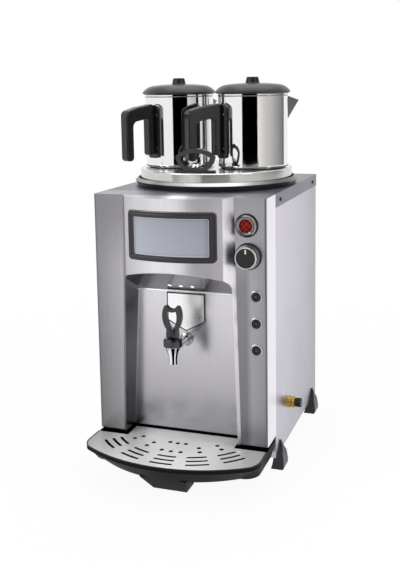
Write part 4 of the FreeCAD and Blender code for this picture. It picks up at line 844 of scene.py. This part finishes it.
# %% [markdown]
# The ring of the power switch has a turned groove, whose shade is painted as a dark ring, and a
# fine inner ring. A dark ring at the foot of the thermostat's knob paints the shadow round it.

# %% Switch groove and knob shadow ring
switch_low, switch_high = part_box("switch_housing")
switch_middle = ((switch_low.x + switch_high.x) / 2, switch_low.y, (switch_low.z + switch_high.z) / 2)
# A dark ring paints the shade in the switch's groove.
turned_part("switch_groove", ring_profile(0.0166, 0.0176, -0.0003, 0.0001), switch_middle, (0, -1, 0),
            48, dark_joint_and_shade, "cabinet")
turned_part("switch_inner_ring", ring_profile(0.0137, 0.0142, -0.0003, 0.0003), switch_middle, (0, -1, 0),
            48, satin_trim, "cabinet")

dial_low, dial_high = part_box("thermostat_knob")
dial_middle = ((dial_low.x + dial_high.x) / 2, pillar_front, (dial_low.z + dial_high.z) / 2)
# A dark ring paints the shadow round the knob's foot.
turned_part("knob_shadow_ring", ring_profile(0.0200, 0.0262, 0.0001, 0.0006), dial_middle, (0, -1, 0),
            48, dark_joint_and_shade, "cabinet")

# %% [markdown]
# Two fine bright ridges run round the knob. Their radius is felt from the knob itself, so that
# they sit on its slope.

# %% Knob ridges
build = bmesh.new()
for share in (0.30, 0.55):
    y = dial_high.y + (dial_low.y - dial_high.y) * share
    felt = feel("thermostat_knob", (dial_middle[0], y, dial_middle[2] + 0.05), (0, 0, -1))[0]
    reach = felt.z - dial_middle[2]
    add_turned(build, [(reach - 0.0002, -0.0005), (reach + 0.0003, -0.0002), (reach + 0.0003, 0.0002),
                       (reach - 0.0002, 0.0005)], (dial_middle[0], y, dial_middle[2]), (0, -1, 0), 96)
hand_over("knob_ridges", build, satin_trim, "dial")

# %% [markdown]
# Every push button has a dished cap, made of a raised ring and a small dome that carries a glint.

# %% Push button caps
for number in (1, 2, 3):
    low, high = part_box("push_button_%d" % number)
    face = ((low.x + high.x) / 2, low.y, (low.z + high.z) / 2)
    build = bmesh.new()
    add_turned(build, ring_profile(0.0052, 0.0066, -0.0003, 0.0005), face, (0, -1, 0), 40)
    dome = [(0.0001, -0.0003), (0.0030, -0.0003), (0.0026, 0.0004), (0.0016, 0.0009), (0.0001, 0.0011)]
    add_turned(build, dome, face, (0, -1, 0), 32)
    hand_over("button_cap_%d" % number, build, cap_shine, "button_%d" % number)

# %% [markdown]
# Each pot is drawn in one piece and its rim is rolled over a wire, which shows as a bead under
# the lid; the bead's steel is painted dark, as the shade under the lid's brim. At the foot a dark
# seam runs round where the base disc is pressed on.

# %% Pot beads and seams
rim_top = 0.7612
seam_low = 0.6098
rim_section = [(-0.0002, -0.0026), (0.0006, -0.0021), (0.0009, -0.0013), (0.0006, -0.0005),
               (-0.0002, 0.0)]
seam_section = [(-0.0002, 0.0), (0.0004, 0.0003), (0.0004, 0.0010), (-0.0002, 0.0013)]
for side, body in ((-1, "left_pot"), (1, "right_pot")):
    axis = (middle_x + side * pot_out, pot_back, 0.0)
    bead = [(pot_radius + r, rim_top + h) for r, h in rim_section]
    # The bead is painted dark as the shade under the lid.
    turned_part("rim_bead_" + body, bead, axis, (0, 0, 1), 96, bead_steel_painted_shade, body)
    seam = [(pot_radius + r, seam_low + h) for r, h in seam_section]
    turned_part("base_seam_" + body, seam, axis, (0, 0, 1), 96, dark_joint_and_shade, body)

# %% [markdown]
# Four rivets, two above and two below, hold the foot of each handle. A ray goes in towards the
# pot's axis for each, so that its head lies on the foot.

# %% Handle rivets
rivet_head = [(0.0001, -0.0003), (0.0022, -0.0003), (0.0020, 0.0004), (0.0012, 0.0008), (0.0001, 0.0010)]
for side, label, handle_turn in ((-1, "left", -115.6), (1, "right", -131.9)):
    turn = math.radians(handle_turn)
    away = Vector((math.cos(turn), math.sin(turn), 0))
    across = Vector((-away.y, away.x, 0))
    axis = Vector((middle_x + side * pot_out, pot_back, 0))
    build = bmesh.new()
    for shift in (-0.0105, 0.0105):
        for z in (0.650, 0.722):
            start = axis + away * (pot_radius + 0.030) + across * shift + Vector((0, 0, z))
            place, facing = feel("pot_%s_handle" % label, start, -away)
            add_turned(build, rivet_head, place, facing, 24)
    hand_over("rivets_%s_handle" % label, build, rivet_steel, label + "_pot")

# %% [markdown]
# A washer seals the hole under each lid's knob.

# %% Lid washers
for side, label in ((-1, "left"), (1, "right")):
    low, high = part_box("pot_%s_lid" % label)
    top = (middle_x + side * pot_out, pot_back, high.z - 0.0004)
    turned_part("lid_washer_" + label, ring_profile(0.0150, 0.0172, -0.0006, 0.0010), top, (0, 0, 1), 64,
                gloss_black, label + "_pot_lid")

# %% [markdown]
# The screws of the cabinet have a cross recess. Two crossed dark bars with a shallow bevel paint
# the shade inside it and read as one at this size. The heads are found in the frame's mesh as its
# separate islands.

# %% Screw recesses
def islands(node_name):
    """The lowest and highest corners of each separate piece of a node's mesh."""
    build = bmesh.new()
    build.from_mesh(nodes[node_name].data)
    bmesh.ops.remove_doubles(build, verts=build.verts, dist=1e-6)
    left = set(build.verts)
    boxes = []
    while left:
        stack = [left.pop()]
        places = []
        while stack:
            vert = stack.pop()
            places.append(vert.co.copy())
            for edge in vert.link_edges:
                other = edge.other_vert(vert)
                if other in left:
                    left.remove(other)
                    stack.append(other)
        boxes.append((Vector([min(p[i] for p in places) for i in range(3)]),
                      Vector([max(p[i] for p in places) for i in range(3)])))
    build.free()
    return boxes


def add_bar(build, at, out, along, length, width, rise):
    """A bar with cut corners that lies on a surface."""
    across = out.cross(along)
    rows = []
    for step, end in ((-1, 0.0), (-1, rise), (1, rise), (1, 0.0)):
        half_long = length / 2 - (0.0 if end == 0.0 else rise)
        middle_line = at + along * step * half_long + out * end
        rows.append([middle_line + across * w for w in (-width / 2, width / 2)])
    corners = [build.verts.new(p) for row in rows for p in row]
    for a, b, c, d in ((0, 1, 3, 2), (2, 3, 5, 4), (4, 5, 7, 6), (0, 2, 4, 6), (1, 3, 5, 7)):
        build.faces.new([corners[i] for i in (a, b, c, d)])


back_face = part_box("back_panel")[1].y
build = bmesh.new()
heads = 0
for low, high in islands("cabinet_screws"):
    mid = (low + high) / 2
    if high.y > back_face + 0.0005:
        at, out = Vector((mid.x, high.y, mid.z)), Vector((0, 1, 0))
    else:
        right = mid.x > middle_x
        at, out = Vector((high.x if right else low.x, mid.y, mid.z)), Vector((1 if right else -1, 0, 0))
    first, second = side_ways(out)
    for along in ((first + second).normalized(), (first - second).normalized()):
        add_bar(build, at, out, along, 0.0040, 0.0010, 0.00012)
    heads += 1
# The dark bars paint the shade inside the cross recesses.
hand_over("screw_recesses", build, dark_joint_and_shade, "cabinet", False)
print("screw heads:", heads)

# %% [markdown]
# Air leaves the back through louvres. Each slot has a pressed hood above it, a shallow scoop
# that keeps drips out. It is a quarter round that fades into the sheet at both ends.

# %% Louvre hoods
build = bmesh.new()
hood_length = 0.090
hood_rise = 0.0040
hood_height = 0.0060
quarter = [math.pi / 2 * k / 6 for k in range(7)]
for row in range(7):
    slot_z = 0.330 + row * 0.016
    for slot_x in (middle_x - 0.0887, middle_x + 0.0887):
        rings = []
        for i in range(21):
            share = i / 20
            swell = math.sin(math.pi * share) ** 0.45 if 0 < share < 1 else 0.0
            x = slot_x - hood_length / 2 + hood_length * share
            outside = [(x, back_face + 0.0001 + hood_rise * swell * math.sin(turn),
                        slot_z + 0.0022 + hood_height * swell * math.cos(turn)) for turn in quarter]
            inside = [(x, back_face + hood_rise * swell * math.sin(turn) * 0.82,
                       slot_z + 0.0020 + hood_height * swell * math.cos(turn) * 0.88) for turn in quarter]
            rings.append(outside + inside[::-1])
        add_rings(build, rings, True, False)
hand_over("louvre_hoods", build, louvre_sheet, "cabinet")

# %% [markdown]
# The drain cap has ribs for the fingers, and the brass neck behind it shows turned rings.

# %% Drain cap ribs and neck rings
cap_low, cap_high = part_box("drain_cap")
cap_middle = (cap_low + cap_high) / 2
rib_length = (cap_high.x - cap_low.x) * 0.7
build = bmesh.new()
for i in range(16):
    turn = 2 * math.pi * i / 16
    away = Vector((0, math.cos(turn), math.sin(turn)))
    felt = feel("drain_cap", cap_middle + away * 0.03, -away)[0]
    add_bar(build, felt, away, Vector((1, 0, 0)), rib_length, 0.0012, 0.0005)
hand_over("cap_ribs", build, edge_rubber, "cap", False)

build = bmesh.new()
for x in (0.1765, 0.1790, 0.1815):
    felt = feel("drain_valve", (x, cap_middle.y, cap_middle.z + 0.05), (0, 0, -1))[0]
    reach = felt.z - cap_middle.z
    add_turned(build, [(reach - 0.0002, -0.0006), (reach + 0.0004, 0.0), (reach - 0.0002, 0.0006)],
               (x, cap_middle.y, cap_middle.z), (1, 0, 0), 40)
hand_over("neck_rings", build, bpy.data.materials["bare brass"], "cabinet")

# %% [markdown]
# The studio floor is white paper. Seen directly or in a reflection it is mostly plain white, so
# that it meets the surround without an edge, and near the urn a part of it stays real paint that
# takes the shadow. Light Path tells the kinds of ray apart.

# %% Floor and surround
def show_plain(tree, share, real, plain, end):
    """Let rays from the camera, from gloss and through glass find a share of the plain shader."""
    rays = tree.nodes.new("ShaderNodeLightPath")
    seen = maths(tree, "ADD", rays.outputs["Is Camera Ray"], rays.outputs["Is Glossy Ray"])
    seen = maths(tree, "ADD", seen, rays.outputs["Is Transmission Ray"])
    seen = maths(tree, "MINIMUM", seen, 1.0)
    either = tree.nodes.new("ShaderNodeMixShader")
    tree.links.new(maths(tree, "MULTIPLY", seen, share), either.inputs[0])
    tree.links.new(real.outputs[0], either.inputs[1])
    tree.links.new(plain.outputs[0], either.inputs[2])
    tree.links.new(either.outputs[0], tree.nodes[end].inputs["Surface"])


floor_mesh = bpy.data.meshes.new("floor")
floor_half = 6.0
floor_mesh.from_pydata(
    [(-floor_half, -floor_half, 0), (floor_half, -floor_half, 0), (floor_half, floor_half, 0),
     (-floor_half, floor_half, 0)], [], [(0, 1, 2, 3)])
floor = put_in_scene("floor", floor_mesh)
material, tree, shader = new_material("floor paper", 0.9)
cloud = use_group(tree, marks, Size=1.5, Amount=0.01)
tree.links.new(tinted(tree, (0.97, 0.97, 0.97), cloud["Tone"]), shader.inputs["Base Color"])
away = add_node(tree, "ShaderNodeVectorMath", {"operation": "LENGTH"})
tree.links.new(place_on_piece(tree), away.inputs[0])
plain_share = spread(tree, away.outputs["Value"], 0.45, 1.6, 0.93, 1.0)
white = add_node(tree, "ShaderNodeEmission", Color=(1.0, 1.0, 1.0, 1.0), Strength=1.0)
show_plain(tree, plain_share, shader, white, "Material Output")
floor_mesh.materials.append(material)

world = bpy.data.worlds.new("studio")
bpy.context.scene.world = world
world.use_nodes = True
tree = world.node_tree
ambient = tree.nodes["Background"]
ambient.inputs["Color"].default_value = (1.0, 1.0, 1.0, 1.0)
ambient.inputs["Strength"].default_value = 0.55
paper = add_node(tree, "ShaderNodeBackground", Color=(1.0, 1.0, 1.0, 1.0), Strength=1.0)
show_plain(tree, 1.0, ambient, paper, "World Output")

# %% [markdown]
# A wide soft lamp stands at the front left, a narrow one on the right, and a third hangs above.
# They are large, so that the shadows are soft.

# %% Lamps
def lamp(name, place, aim, width, height, watts):
    data = bpy.data.lights.new(name, "AREA")
    data.shape = "RECTANGLE"
    data.size = width
    data.size_y = height
    data.energy = watts
    thing = put_in_scene(name, data)
    thing.location = place
    thing.rotation_euler = (Vector(aim) - Vector(place)).to_track_quat("-Z", "Y").to_euler()


middle = (0.0, 0.0, 0.4)
lamp("front left softbox", (-1.6, -1.8, 1.7), middle, 1.4, 1.4, 24.0)
lamp("right strip", (2.0, -0.4, 1.2), middle, 0.5, 1.6, 14.0)
lamp("overhead", (0.0, 0.4, 2.4), middle, 1.6, 1.6, 16.0)

# %% [markdown]
# A photographer hangs black and grey cards just out of the picture, so that polished metal has
# dark edges and stripes to show its shape. Here the cards are seen by reflections only, so two
# of them can hang close to the tap's nozzle.

# %% Cards
def card(name, corners, near_shade, far_shade, along):
    """A sheet of card whose shade goes from one value to another along one axis."""
    mesh = bpy.data.meshes.new(name)
    mesh.from_pydata(corners, [], [(0, 1, 2, 3)])
    thing = put_in_scene(name, mesh)
    thing.visible_camera = False
    thing.visible_diffuse = False
    thing.visible_shadow = False
    material, tree, shader = new_material(name + " paper", 0.9, 0.0, 0.0, 0.0)
    places = [c["XYZ".index(along)] for c in corners]
    shade = spread(tree, axes_of(tree)[along], min(places), max(places), near_shade, far_shade)
    tree.links.new(tinted(tree, (1.0, 0.97, 0.95), shade), shader.inputs["Base Color"])
    mesh.materials.append(material)


def standing_card(name, x0, x1, y, z0, z1, near_shade, far_shade):
    card(name, [(x0, y, z0), (x1, y, z0), (x1, y, z1), (x0, y, z1)], near_shade, far_shade, "X")


card("pot stripe card", [(-0.097, -0.486, 0.568), (0.28, -0.28, 0.590), (0.28, -0.28, 0.80),
                         (-0.097, -0.486, 0.80)], 0.0, 0.0, "X")
standing_card("bay card", -0.08, 1.00, -1.25, 0.0, 0.50, 0.30, 0.40)
standing_card("skirt card", -1.45, -0.45, -1.25, 0.32, 0.46, 0.25, 0.85)
nozzle_y = -0.2075
card_reach = 0.020
for name, start, stop in (("nozzle front card", -6.0, 42.0), ("nozzle side card", 68.0, 108.0)):
    turns = (math.radians(start), math.radians(stop))
    x0, x1 = [middle_x + card_reach * math.sin(turn) for turn in turns]
    y0, y1 = [nozzle_y - card_reach * math.cos(turn) for turn in turns]
    card(name, [(x0, y0, 0.222), (x1, y1, 0.222), (x1, y1, 0.278), (x0, y0, 0.278)], 0.0, 0.0, "Z")
card("side card", [(0.9, -1.3, 0.5), (0.9, 0.9, 0.5), (0.9, 0.9, 1.1), (0.9, -1.3, 1.1)], 1.0, 0.16, "Y")
